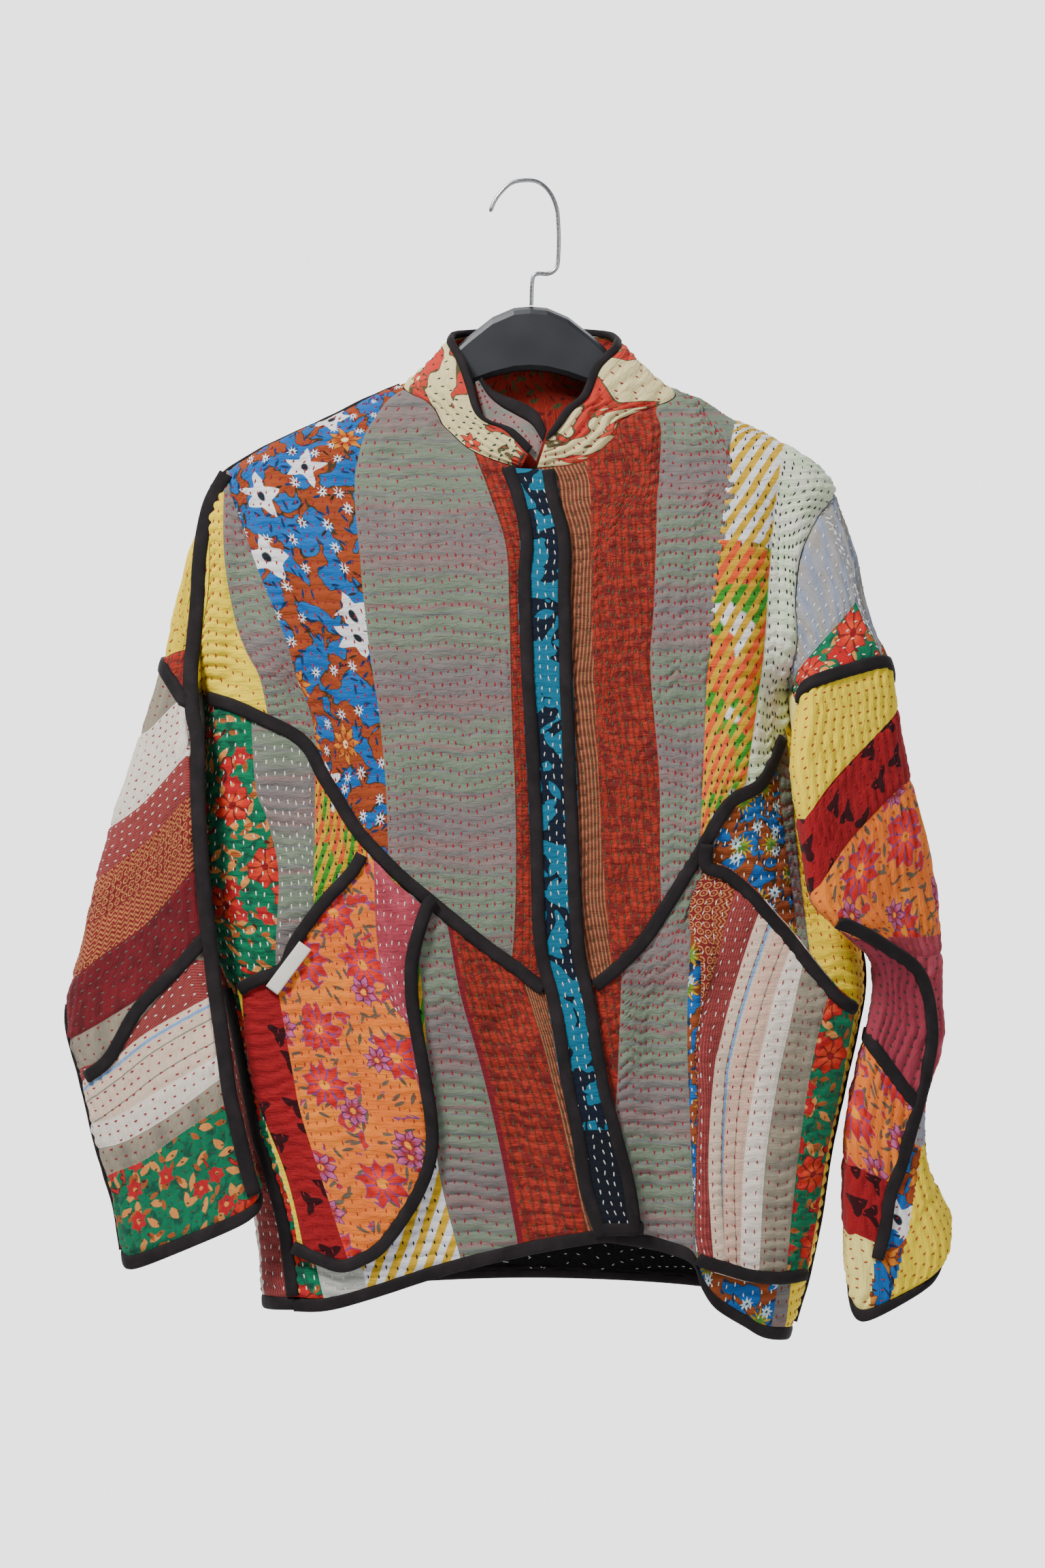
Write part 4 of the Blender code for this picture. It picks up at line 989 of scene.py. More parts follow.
class Print(Enum):
    """The printed and woven cottons that the patches are cut from."""

    SAGE = Cotton("sage_cotton_lilac_bands", SAGE, SAGE_BANDS, fade=0.1)
    LILAC = Cotton("grey_lilac_cotton", "#909094", (Blots(26, "#8f8a83", 0.5, "", 4, 0.1),
                                                    Stripes(17, 0.3, "#7c869b", 62, 0.2, 9)), fade=0.08)
    YELLOW = Cotton("yellow_cotton", "#e0c229", fade=0.14)
    STRAW = Cotton("straw_cotton", "#e3d278", fade=0.1)
    BLUE_FLORAL = Cotton(
        "blue_rust_flowered_cotton", "#19599b",
        (Blots(20, "#8b3d1e", 0.5, "#3b301c", 1.0),
         Leaves(8, 8, 2.0, "#142b4f", 2.0, 0.5), Leaves(12, 8, 1.8, "#301e15", 7.0, 0.35),
         Flowers(17, 4.2, 8, "#d3d7d9", "#31251e", "", 0.5, 3.0, 0.6),
         Flowers(46, 13, 8, "#c37822", "#e7d198", "#5f2f18", 0.55, 5.3, 0.4, "#a1441b"),
         Flowers(60, 16, 4.6, "#d7d3d2", "#192028", "", 0.6, 11.4, 0.5)), fade=0.1)
    BLUE_YELLOW_FLORAL = Cotton(
        "blue_cotton_yellow_flowers", "#185698",
        (Blots(15, "#833f1f", 0.55, "#3b301c", 2.0), Leaves(9, 8, 2.4, "#172f4c", 3.0, 0.6),
         Flowers(24, 9, 12, "#b38a1f", "#45752f", "#553818", 0.6, 8.0, 0.55, "#5f8a2a"),
         Flowers(18, 5, 8, "#afc8d0", "#263946", "", 0.5, 1.0, 0.5)), fade=0.12)
    ORANGE_RED = Cotton("orange_red_cotton", "#962b1e", (Blots(7, "#6d1e1d", 0.45, "", 3.0, 0.07),
                                                         Stripes(6.4, 0.22, "#5b291e", 0, 0.14, 3)),
                        fade=0.2, heather=0.12, crease=0.8)
    BROWN_RIB = Cotton("brown_ribbed_cotton", "#5f3024", (Stripes(2.6, 0.35, "#9a6542", 0, 0.16, 2),),
                       fade=0.12, heather=0.08)
    MAROON = Cotton("maroon_cotton", "#6d1a24", fade=0.1)
    DARK_RED = Cotton("dark_red_cotton", "#64171e", (Blots(11, "#54151a", 0.4, "", 5.0, 0.1),), fade=0.16,
                      heather=0.06)
    RED_CLOVER = Cotton("red_cotton_dark_clover", "#88151a",
                        (Flowers(25, 9.5, 3, "#2f080d", "#2f080d", "", 0.95, 6.0, 0.6),), fade=0.14)
    GREEN_ROSE = Cotton(
        "green_rose_cotton", "#0e6644",
        (Blots(7, "#0d4836", 0.35, "", 2.0, 0.08), Leaves(11, 12, 4.6, "#c77e3f", 1.0, 0.55),
         Leaves(8, 8, 3.4, "#954c23", 4.0, 0.4), Blots(17, "#ab1e1d", 0.2, "#4a1714", 5.0, 0.014),
         Flowers(36, 13, 7, "#b6261f", "#7a161b", "#6d1e1a", 0.62, 2.0, 0.24, "#c94524"),
         Flowers(21, 7.0, 6, "#a51b21", "#c97f3d", "", 0.4, 9.0, 0.3)), fade=0.14, heather=0.1)
    ORANGE_FLORAL = Cotton(
        "orange_flowered_cotton", "#d36926",
        (Blots(30, "#dd7a29", 0.4, "", 1.0, 0.12), Leaves(9, 10, 2.4, "#594d3e", 2.2, 0.5),
         Leaves(10, 9, 2.4, "#5f5242", 5.2, 0.35), Blots(13, "#b5271f", 0.22, "#6d4075", 9.0, 0.012),
         Flowers(42, 17, 9, "#b31f1f", "#e48d2a", "#6f3d72", 0.75, 4.0, 0.34, "#d73c27"),
         Flowers(34, 10, 7, "#ae5683", "#e68e2e", "#54264a", 0.45, 7.0, 0.36, "#962d26")), fade=0.08)
    PINK = Cotton("pink_cotton", "#913642", (Blots(16, "#a1424f", 0.4, "", 3.0, 0.1),), fade=0.12)
    PINK_DARK = Cotton("rose_cotton", "#89313e", fade=0.12)
    BRICK = Cotton("brick_woven_cotton", "#772d2c", (Stripes(1.8, 0.3, "#954744", 0, 0.2, 1),), fade=0.14,
                   heather=0.1)
    RINGS = Cotton("brick_cotton_cream_rings", "#6d1e1f",
                   (Rings(5.6, 2.0, 0.55, "#ac7543"),
                    Zigzags(3.2, 2.4, 4.6, "#a66a3d", -1.0, 9.5, "#6d1e1f"),
                    Zigzags(3.2, 2.4, 4.6, "#a66a3d", 32.0, 60.0, "#6d1e1f")), fade=0.12)
    RINGS_ONLY = Cotton("brick_cotton_cream_rings_edge", "#6d1e1f",
                        (Rings(5.6, 2.0, 0.55, "#ac7543"),
                         Zigzags(3.2, 2.4, 4.6, "#a66a3d", 17.0, 60.0, "#6d1e1f")), fade=0.12)
    CREAM = Cotton("cream_cotton_blue_line", "#ccb39e",
                   (Stripes(40, 0.05, "#6191c1", 0, 0.02, 0, -4.5),
                    Stripes(15, 0.06, "#6f7262", 0, 0.02, 0, 2)),
                   fade=0.06)
    PINKISH = Cotton("pinkish_cotton", "#c5a28e", (Stripes(17, 0.05, "#7d7b69", 0, 0.02, 0, 5),), fade=0.06)
    WHITE = Cotton("white_cotton", "#d0c5b7", fade=0.06)
    TAUPE = Cotton("taupe_cotton", "#877e6c", (Stripes(30, 0.3, "#766f61", 90, 0.12, 10),), fade=0.08)
    YELLOW_WHITE = Cotton("yellow_white_striped_cotton", "#d4d2d5",
                          (Stripes(9.5, 0.5, "#bf9821", -28, 0.04, 2),), fade=0.05)
    YELLOW_GREEN = Cotton("yellow_striped_cotton_green_orange", "#cc4e25",
                          (Blots(32, "#338124", 0.5, "", 6.0, 0.02), Blots(30, "#d8d6d1", 0.2, "", 2.0, 0.02),
                           Stripes(9.5, 0.5, "#be9421", -28, 0.04, 2)), fade=0.06)
    PALE_GREEN = Cotton("pale_green_cream_cotton", "#d0d0c0", (Blots(28, "#c3d3b1", 0.5, "", 3.0, 0.12),),
                        fade=0.05)
    BACK_GREY = Cotton("pale_grey_cotton", "#acaca3", fade=0.06)
    COLLAR = Cotton(
        "cream_flowered_cotton", "#d1c28d",
        (Blots(34, "#b7362b", 0.40, "#51482f", 7.0),
         Flowers(30, 8, 5, "#c33d2f", "#d6c794", "#51482f", 0.4, 3.0)),
        fade=0.08)
    INNER_NECK = Cotton("red_orange_leafy_cotton", "#a12f23",
                        (Leaves(11, 12, 3.4, "#535432", 3.0, 0.7), Leaves(9, 8, 2.4, "#6d2320", 6.0, 0.5)),
                        fade=0.1)
    COLLAR_END = Cotton("pink_grey_cotton", "#846d69", (Stripes(20, 0.4, "#70716a", 30, 0.2, 8),), fade=0.1)
    TEAL = Cotton("teal_leaf_navy_cotton", "#0d1625",
                  (Blots(22, "#12607a", 0.52, "#0b111c", 4.0), Leaves(13, 14, 6, "#12607c", 2.0, 0.5),
                   Stripes(60, 0.05, "#47542c", 0, 0.02, 0, 13)), fade=0.1)
    NAVY = Cotton("navy_cotton", "#0f131c", fade=0.1)
    LINING = Cotton("black_lining_cotton", "#131214", fade=0.1, crease=0.7)
    LABEL = Cotton("woven_label_tape", "#d2cfc3", fade=0.04, weave_mm=0.7, crease=0.15)


class Finishes:
    """Each material, made once when it is first asked for."""

    def __init__(self) -> None:
        """Start with none made."""
        self.made: dict[Any, bpy.types.Material] = {}

    def get(self, finish: Any) -> bpy.types.Material:
        """The material of a Finish, or of a Print or Thread that holds one."""
        if finish not in self.made:
            self.made[finish] = (finish.value if isinstance(finish, Enum) else finish).build()
        return self.made[finish]


FINISHES = Finishes()
TAPE = BiasTape()


def mesh_piece(name: str, points: Array, faces: Array, slots: Sequence[Any], chosen: Array | None = None,
               uvs: Array | None = None) -> bpy.types.Object:
    """Make a mesh object that rides on the jacket.

    Args:
        name: The piece's name.
        points: Vertices in millimetres.
        faces: Quads, or quads whose last two corners are the same, as rows of vertex numbers.
        slots: The finishes, in the order that chosen counts.
        chosen: The finish of each face.
        uvs: The cloth's place at each corner of each face, in millimetres.

    Returns:
        The new object.
    """
    mesh = bpy.data.meshes.new(name)
    mesh.vertices.add(len(points))
    mesh.vertices.foreach_set("co", (points * MM).astype(np.float32).ravel())
    sides = faces.shape[1]
    mesh.loops.add(faces.size)
    mesh.loops.foreach_set("vertex_index", faces.astype(np.int32).ravel())
    mesh.polygons.add(len(faces))
    mesh.polygons.foreach_set("loop_start", (np.arange(len(faces)) * sides).astype(np.int32))
    for finish in slots:
        mesh.materials.append(FINISHES.get(finish))
    if chosen is not None:
        mesh.polygons.foreach_set("material_index", chosen.astype(np.int32))
    if uvs is not None:
        layer = mesh.uv_layers.new(name="cloth")
        layer.data.foreach_set("uv", uvs.astype(np.float32).ravel())
    mesh.update(calc_edges=True)
    mesh.validate()
    mesh.shade_smooth()
    item = bpy.data.objects.new(name, mesh)
    bpy.context.scene.collection.objects.link(item)
    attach(item, "root")
    return item


class SewnPieces:
    """Which stitches and tapes are sewn to which panel, kept until the end, when each panel's pieces are
    counted.
    """

    def __init__(self) -> None:
        """Start with nothing sewn."""
        self.panels: dict[str, tuple[bpy.types.Object, dict[str, Any]]] = {}
        self.sewn: dict[str, list[bpy.types.Object]] = {}

    def panel(self, item: bpy.types.Object, **terms: Any) -> None:
        self.panels[item.name] = (item, terms)

    def sew(self, item: bpy.types.Object, panel: str) -> None:
        """Note that a piece is sewn to a panel."""
        self.sewn.setdefault(panel, []).append(item)

    def declare(self) -> None:
        """Log how many pieces are sewn to each panel, and fail if any piece is sewn to no panel."""
        for name, (item, terms) in self.panels.items():
            pieces = self.sewn.pop(name, [])
            log.info("%s: %d pieces sewn on", name, len(pieces))
        if self.sewn:
            raise ValueError(f"sewn to no panel: {sorted(self.sewn)}")


SEWN = SewnPieces()


@dataclass
class Strip:
    """One strip of a panel: what it is cut from, its thread, and the border on its far side.

    Attributes:
        cotton: The print.
        thread: The quilting thread.
        border: The strip's far border, as places in the photograph, or none for the panel's last strip.
        crosses: Further prints down the strip, as (share of its length, print, thread).
    """

    cotton: Print
    thread: Thread
    border: Line = ()
    crosses: tuple[tuple[float, Print, Thread], ...] = ()


@dataclass
class Quilting:
    """The relief of running stitch: soft puffs across the rows of stitches, and the dashes themselves."""

    rows_mm: float = STITCH_ROWS
    pitch_mm: float = STITCH_PITCH
    dash_mm: float = 3.7
    puff_mm: float = 2.4
    wander: float = 0.4
    thread_mm: float = 0.92
    first_mm: float = 2.6
    seed: int = 1

    def phase(self, u: Array, v: Array, k: int) -> Array:
        """How far along its row of stitches a place is, in stitches.

        Args:
            u: The distance across strip k.
            v: The distance along it.
            k: The strip's number, which picks its own pattern.

        Returns:
            The place in its row; each whole number is a stitch.
        """
        u, v = u + 31 * k, v + 17 * k
        drift = noise(u / 11, v / 34, self.seed) * self.wander + noise(u / 34, v / 60, self.seed + 5) * 0.5
        return v / self.pitch_mm + drift

    def relief(self, u: Array, v: Array, k: int) -> Array:
        """The height of the puffed cloth over its base, lowest at the stitches."""
        ridge = np.abs(np.sin(np.pi * self.phase(u, v, k))) ** 0.75
        pillow = 0.8 + 0.2 * np.abs(np.sin(np.pi * (u - self.first_mm) / self.rows_mm))
        u, v = u + 31 * k, v + 17 * k
        strength = 0.78 + 0.35 * noise(u / 9, v / 12, self.seed + 9)
        slow = 0.5 * noise(u / 21, v / 26, self.seed + 3)
        return self.puff_mm * (ridge * strength * pillow - 0.42) + slow * 0.7


@dataclass
class Panel:
    """A quilted panel made of strips, on one of the maps."""

    name: str
    surface: Surface
    outward: int
    strips: Sequence[Strip]
    face: float = CLOTH_FACE
    step: float = FINE_STEP
    quilting: Quilting = field(default_factory=Quilting)
    slot: str = "grey_patchwork"
    nodes: tuple[str, ...] = ()
    flat: tuple[float, float] = (0.3, 0.6)
    area: float | None = None
    depth_edge: float = 3.0
    stitches: bool = True
    stitch_from: float = 0.0
    level: bool = False
    rests_on: tuple[str, ...] = ("hanger_plate",)
    overlays: tuple[tuple[Line, Print], ...] = ()

    def split(self, top: Array, foot: Array, start: Array, end: Array) -> list[Array]:
        """Cut the panel into strips along their borders.

        Args:
            top: The upper edge, from the start's side to the end's, as many places.
            foot: The lower edge, the same way.
            start: The first side, from top to foot.
            end: The last side, from top to foot.

        Returns:
            A grid of places for each strip.
        """
        height = max(np.linalg.norm(np.diff(side * MAP_SCALE, axis=0), axis=1).sum() for side in (start, end))
        rows = max(int(height / self.step), 4)
        fade = np.linspace(0, 1, rows + 1)[:, None]
        borders, cuts = [even_places(start, rows)], [(0.0, 0.0)]
        for strip in self.strips[:-1]:
            places = on_front(smooth(seen(strip.border), 60))
            cut = []
            for edge, place in ((top, places[0]), (foot, places[-1])):
                near = int(np.argmin(np.linalg.norm((edge - place) * MAP_SCALE, axis=1)))
                cut.append(near / (len(edge) - 1))
            cuts.append((cut[0], cut[1]))
            line = even_places(places, rows)
            first, last = self.at(top, cut[0]), self.at(foot, cut[1])
            borders.append(line + (first - line[0]) * (1 - fade) ** 6 + (last - line[-1]) * fade**6)
        borders.append(even_places(end, rows))
        cuts.append((1.0, 1.0))
        grids = []
        for near, far, cut, next_cut in zip(borders, borders[1:], cuts, cuts[1:]):
            gap = np.linalg.norm((far - near) * MAP_SCALE, axis=1)
            columns = max(int(np.mean(gap) / self.step), 1)
            upper, lower = (self.at(edge, np.linspace(cut[k], next_cut[k], columns + 1))
                            for k, edge in enumerate((top, foot)))
            grids.append(coons(upper, lower, near, far))
        return grids

    @staticmethod
    def at(edge: Array, share: Any) -> Array:
        """The places at one or more shares of an edge's points."""
        return interpolated(share, np.linspace(0, 1, len(edge)), edge)

    def sew(self, grids: list[Array]) -> bpy.types.Object:
        """Build the cloth and its stitches from the strips' grids of places.

        Args:
            grids: A grid for each strip; neighbours share a border.

        Returns:
            The cloth.
        """
        whole = np.concatenate([grids[0]] + [grid[:, 1:] for grid in grids[1:]], axis=1)
        ends = np.cumsum([0] + [grid.shape[1] - 1 for grid in grids])
        spans = [slice(first, last + 1) for first, last in zip(ends, ends[1:])]
        base = self.surface(whole[..., 0], whole[..., 1])
        normal = normals_of(self.surface, whole, self.outward)
        places = [self.cloth_place(base[:, span]) for span in spans]
        shown = base + normal * (self.face + self.lift(base, spans, places))[..., None]
        points, faces, chosen, uvs, slots = [], [], [], [], []
        dashes: dict[Thread, list[Array]] = {}
        count = 0
        for k, (strip, span, (u, v)) in enumerate(zip(self.strips, spans, places)):
            part = shown[:, span]
            bands = [(0.0, strip.cotton, strip.thread)] + list(strip.crosses)
            ordered = any(isinstance(layer, Zigzags) for layer in strip.cotton.value.prints)
            shift = 0 if ordered else k
            cells = corners(np.arange(u.size).reshape(u.shape) + count)
            place = corners(np.stack([u + PRINT_SHIFT[0] * shift, v + PRINT_SHIFT[1] * shift], axis=-1))
            if self.outward < 0:
                cells, place = cells[:, :, ::-1], place[:, :, ::-1]
            points.append(part.reshape(-1, 3))
            faces.append(cells.reshape(-1, 4))
            chosen.append(self.choose(part, normal[:, span], bands, slots).ravel())
            uvs.append(place.reshape(-1, 2))
            if self.stitches:
                self.stitch(part, normal[:, span], u, v, k, bands, dashes)
            count += u.size
        item = mesh_piece(self.name, np.vstack(points), np.vstack(faces), slots, np.concatenate(chosen),
                          np.vstack(uvs))
        self.weld(item)
        if dashes:
            SEWN.sew(self.thread_piece(dashes), self.name)
        if self.nodes:
            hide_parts(*self.nodes)
        SEWN.panel(item, flat=self.flat, held="hung", area=self.area, rests_on=list(self.rests_on))
        area = sum(face.area for face in item.data.polygons)
        log.info("%s: %d faces, %.4f square metres", self.name, len(item.data.polygons), area)
        return item

    def lift(self, base: Array, spans: list[slice], places: list[tuple[Array, Array]]) -> Array:
        """How far the puffed cloth stands from its base, flatter at the seams and the panel's edges.

        Args:
            base: The panel's smooth points.
            spans: Each strip's columns.
            places: Each strip's places on its cloth.

        Returns:
            The height at each point, in millimetres.
        """
        lift = np.zeros(base.shape[:2])
        for k, (span, (u, v)) in enumerate(zip(spans, places)):
            seam = np.minimum(u, u[:, -1:] - u)
            shape = self.quilting.relief(u, v, k)
            shape = shape * np.clip(seam / 2.4, 0.25, 1) - 0.55 * np.exp(-((seam / 1.3) ** 2))
            if k:
                shape[:, 0] = (lift[:, span.start] + shape[:, 0]) / 2
            lift[:, span] = shape
        dip = np.clip(self.edge_distance(base) / self.depth_edge, 0, 1)
        return lift * (0.35 + 0.65 * dip) - 0.7 * (1 - dip)

    def choose(self, part: Array, normal: Array, bands: list[Any], slots: list[Print]) -> Array:
        """Pick the print of each face of a strip.

        Args:
            part: The strip's shown surface.
            normal: Its outward directions.
            bands: The prints down the strip, with where each starts.
            slots: The panel's prints, which grow as new ones are met.

        Returns:
            The number of each face's print among the slots.
        """
        share = (np.arange(len(part) - 1) + 0.5) / (len(part) - 1)
        centre = (part[:-1, :-1] + part[1:, 1:]) / 2
        chosen = np.zeros(centre.shape[:2], int)
        areas = [(cotton, np.repeat(share[:, None] >= start, centre.shape[1], axis=1))
                 for start, cotton, _ in bands]
        areas += [(cotton, inside(seen(outline), centre[..., 0], centre[..., 2]) & (normal[:-1, :-1, 1] < 0.1))
                  for outline, cotton in self.overlays]
        for cotton, covered in areas:
            if cotton not in slots:
                slots.append(cotton)
            chosen[covered] = slots.index(cotton)
        return chosen

    def cloth_place(self, part: Array) -> tuple[Array, Array]:
        """Where each point of a strip lies on its cloth.

        Args:
            part: The strip's points, row by row.

        Returns:
            The distance across the strip and the distance down it, in millimetres.
        """
        steps = np.linalg.norm(np.diff(part, axis=1), axis=2)
        u = np.concatenate([np.zeros((len(part), 1)), np.cumsum(steps, axis=1)], axis=1)
        middle = part[:, part.shape[1] // 2]
        run = length_along(middle)
        v = np.repeat(run[:, None], part.shape[1], axis=1)
        if self.level:
            fall, drop = np.maximum.accumulate(-middle[:, 2]), -part[..., 2]
            v = np.interp(drop, fall, run) + np.minimum(drop - fall[0], 0) + np.maximum(drop - fall[-1], 0)
        return u, v

    @staticmethod
    def weld(item: bpy.types.Object) -> None:
        """Join the strips where they share a border, and drop faces with no area."""
        work = bmesh.new()
        work.from_mesh(item.data)
        bmesh.ops.remove_doubles(work, verts=work.verts, dist=0.00002)
        bmesh.ops.dissolve_degenerate(work, dist=0.00002, edges=work.edges)
        work.to_mesh(item.data)
        work.free()

    @staticmethod
    def edge_distance(base: Array) -> Array:
        """A rough distance of each grid point from the panel's nearest edge."""
        across = np.linalg.norm(np.diff(base, axis=1), axis=2)
        along = np.linalg.norm(np.diff(base, axis=0), axis=2)
        left = np.concatenate([np.zeros((len(base), 1)), np.cumsum(across, axis=1)], axis=1)
        top = np.concatenate([np.zeros((1, base.shape[1])), np.cumsum(along, axis=0)], axis=0)
        return np.minimum(np.minimum(left, left[:, -1:] - left), np.minimum(top, top[-1:] - top))

    def stitch(self, part: Array, normal: Array, u: Array, v: Array, k: int, bands: list[Any],
               dashes: dict[Thread, list[Array]]) -> None:
        """Lay running stitches on one strip.

        Args:
            part: The strip's shown surface.
            normal: Its outward directions.
            u: The distance across the strip.
            v: The distance along it.
            k: The strip's number, which picks its own pattern.
            bands: The prints down the strip, with their threads.
            dashes: Where the stitches go, as arrays of points by thread.
        """
        rng = np.random.default_rng(self.quilting.seed * 97 + k)
        rows, columns = part.shape[:2]
        steps = np.linalg.norm(np.diff(part, axis=0), axis=2)
        widest = u[:, -1].max()
        side = 1.0 if self.face > 0 else -1.0
        fine = np.arange(0.8, rows - 2.0, 0.2)
        for n in range(int(widest / self.quilting.rows_mm) + 1):
            offset = self.quilting.first_mm + n * self.quilting.rows_mm
            if offset < self.stitch_from * widest:
                continue
            down = np.interp(fine, np.arange(rows), [np.interp(offset, u[i], v[i]) for i in range(rows)])
            turn = np.floor(self.quilting.phase(np.full_like(down, offset), down, k))
            for row in fine[1:][turn[1:] != turn[:-1]]:
                i = int(row)
                if offset > u[i, -1] - 1.6:
                    continue
                column = float(np.interp(offset + rng.uniform(-0.5, 0.5), u[i], np.arange(columns)))
                thread = [band[2] for band in bands if band[0] <= row / (rows - 1)][-1]
                length = self.quilting.dash_mm * rng.uniform(0.8, 1.15) / max(steps[i, int(column)], 0.4)
                dashes.setdefault(thread, []).append(
                    self.dash(part, normal * side, row + rng.uniform(-0.15, 0.15), column, length,
                              rng.uniform(-0.35, 0.35)))

    def dash(self, part: Array, normal: Array, row: float, column: float, length: float,
             slant: float) -> Array:
        """One stitch: a low rounded bar that dives into the cloth at both ends.

        Args:
            part: The shown surface.
            normal: Its outward directions.
            row: The stitch's middle, in grid rows.
            column: Its place across, in grid columns.
            length: Its length, in grid rows.
            slant: How far its end moves across, in columns.

        Returns:
            Its eight points.
        """
        ends = ((-0.5, -0.15), (-0.22, 0.42), (0.22, 0.42), (0.5, -0.15))
        spots = []
        for share, height in ends:
            r = min(max(row + share * length, 0), part.shape[0] - 1.001)
            c = min(max(column + share * slant, 0), part.shape[1] - 1.001)
            i, j = int(r), int(c)
            fr, fc = r - i, c - j
            corner = part[i:i + 2, j:j + 2]
            spot = (corner[0, 0] * (1 - fc) + corner[0, 1] * fc) * (1 - fr) \
                + (corner[1, 0] * (1 - fc) + corner[1, 1] * fc) * fr
            spots.append(spot + normal[i, j] * height)
        along = spots[3] - spots[0]
        across = np.cross(normal[min(int(row), len(normal) - 1), int(column)], along)
        across = across / max(np.linalg.norm(across), 1e-9)
        half = self.quilting.thread_mm / 2
        out = normal[min(int(row), len(normal) - 1), int(column)]
        points = [spots[0]]
        for spot in (spots[1], spots[2]):
            points += [spot - across * half - out * 0.3, spot + out * 0.12, spot + across * half - out * 0.3]
        points.append(spots[3])
        return np.array(points)

    def thread_piece(self, dashes: dict[Thread, list[Array]]) -> bpy.types.Object:
        """Join all the panel's stitches in one piece.

        Args:
            dashes: The stitches' points, by thread.

        Returns:
            The piece.
        """
        pattern = np.array([(0, 1, 2), (0, 2, 3), (1, 4, 5), (1, 5, 2), (2, 5, 6), (2, 6, 3), (4, 7, 5),
                            (5, 7, 6)])
        points, faces, chosen, slots = [], [], [], []
        count = 0
        for thread, found in dashes.items():
            slots.append(thread)
            block = np.array(found)
            shift = count + np.arange(len(block))[:, None, None] * 8
            points.append(block.reshape(-1, 3))
            faces.append((pattern[None] + shift).reshape(-1, 3))
            chosen.append(np.full(len(block) * len(pattern), len(slots) - 1))
            count += len(block) * 8
        return mesh_piece("stitches_" + self.name, np.vstack(points), np.vstack(faces), slots,
                          np.concatenate(chosen))


@dataclass
class Tape:
    """A folded bias tape that lies crowned along a line of places."""

    name: str
    surface: Surface
    outward: int
    line: Array
    top: float
    foot: float = 0.4
    width: float = TAPE_WIDTH
    sewn_to: str = ""
    node: str = ""
    wobble: float = 0.35
    seed: int = 3
    slot: str = "bias_binding"
    finish: Any = TAPE
    edge_share: float = 0.55

    def build(self) -> bpy.types.Object:
        """Make the tape.

        Returns:
            The tape.
        """
        place = self.line
        here = self.surface(place[:, 0], place[:, 1])
        normal = normals_of(self.surface, place[:, None, :], self.outward)[:, 0]
        along = np.gradient(here, axis=0)
        along /= np.maximum(np.linalg.norm(along, axis=1, keepdims=True), 1e-9)
        across = np.cross(normal, along)
        across /= np.maximum(np.linalg.norm(across, axis=1, keepdims=True), 1e-9)
        run = length_along(here)
        sway = noise(run / 23, np.zeros_like(run), self.seed) * self.wobble
        high = self.top + noise(run / 9, np.ones_like(run), self.seed + 2) * 0.22
        edge = self.foot + (high - self.foot) * self.edge_share
        shoulder = high * 0.93 + self.foot * 0.07
        flat = np.full_like(run, self.foot)
        profile = ((-1.0, flat), (-0.98, edge), (-0.8, shoulder), (-0.4, high), (0.0, high + 0.1),
                   (0.4, high), (0.8, shoulder), (0.98, edge), (1.0, flat))
        rings = [here + across * (share * self.width / 2 + sway)[:, None] + normal * level[:, None]
                 for share, level in profile]
        item = tube(self.name, np.stack(rings, axis=1), run, 2.2 * self.width, self.finish)
        SEWN.sew(item, self.sewn_to)
        if self.node:
            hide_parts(self.node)
        return item


def tube(name: str, points: Array, run: Array, around_mm: float, finish: Any) -> bpy.types.Object:
    """Skin a row of rings, and close its ends unless the last ring meets the first.

    Args:
        name: The piece's name.
        points: The rings, each a row of points.
        run: How far along the piece each ring is, with one value more where the last ring meets the first.
        around_mm: The cloth's width round a ring.
        finish: What it is made of.

    Returns:
        The piece.
    """
    rows, columns = points.shape[:2]
    index = np.arange(rows * columns).reshape(rows, columns)
    closed = len(run) > rows
    if closed:
        index = np.vstack([index, index[:1]])
    faces = corners(np.hstack([index, index[:, :1]])).reshape(-1, 4)
    place = np.stack(np.meshgrid(np.linspace(0, around_mm, columns + 1), run), axis=-1)
    item = mesh_piece(name, points.reshape(-1, 3), faces, [finish], None, corners(place).reshape(-1, 2))
    if closed:
        return item
    work = bmesh.new()
    work.from_mesh(item.data)
    work.verts.ensure_lookup_table()
    for end in (0, rows - 1):
        work.faces.new([work.verts[end * columns + k] for k in range(columns)])
    bmesh.ops.recalc_face_normals(work, faces=work.faces)
    work.to_mesh(item.data)
    work.free()
    return item


@dataclass
class Binding:
    """A rolled binding over an edge, between the line where the cloth stops and the rim."""

    name: str
    surface: Surface
    outward: int
    cloth: Array
    rim: Array
    sewn_to: str
    node: str = ""
    closed: bool = False
    half_thick: float = 2.1
    seed: int = 8
    ring_points: int = 14
    around_mm: float = 22.0

    def build(self) -> bpy.types.Object:
        """Make the binding.

        Returns:
            The binding.
        """
        inner = self.surface(self.cloth[:, 0], self.cloth[:, 1])
        outer = self.surface(self.rim[:, 0], self.rim[:, 1])
        normal = normals_of(self.surface, ((self.cloth + self.rim) / 2)[:, None, :], self.outward)[:, 0]
        middle, reach = (inner + outer) / 2, (outer - inner) / 2
        run = length_along(outer)
        swell = 1 + noise(run / 8, np.zeros_like(run), self.seed) * 0.10
        rings = []
        for turn in np.linspace(0, math.tau, self.ring_points, endpoint=False):
            c, s = math.cos(turn), math.sin(turn)
            c = math.copysign(abs(c) ** 0.7, c)
            s = math.copysign(abs(s) ** 0.6, s)
            rings.append(middle + reach * c + normal * (s * self.half_thick * swell)[:, None])
        if self.closed:
            run = np.append(run, run[-1] + np.linalg.norm(outer[0] - outer[-1]))
        item = tube(self.name, np.stack(rings, axis=1), run, self.around_mm, TAPE)
        SEWN.sew(item, self.sewn_to)
        if self.node:
            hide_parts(self.node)
        return item


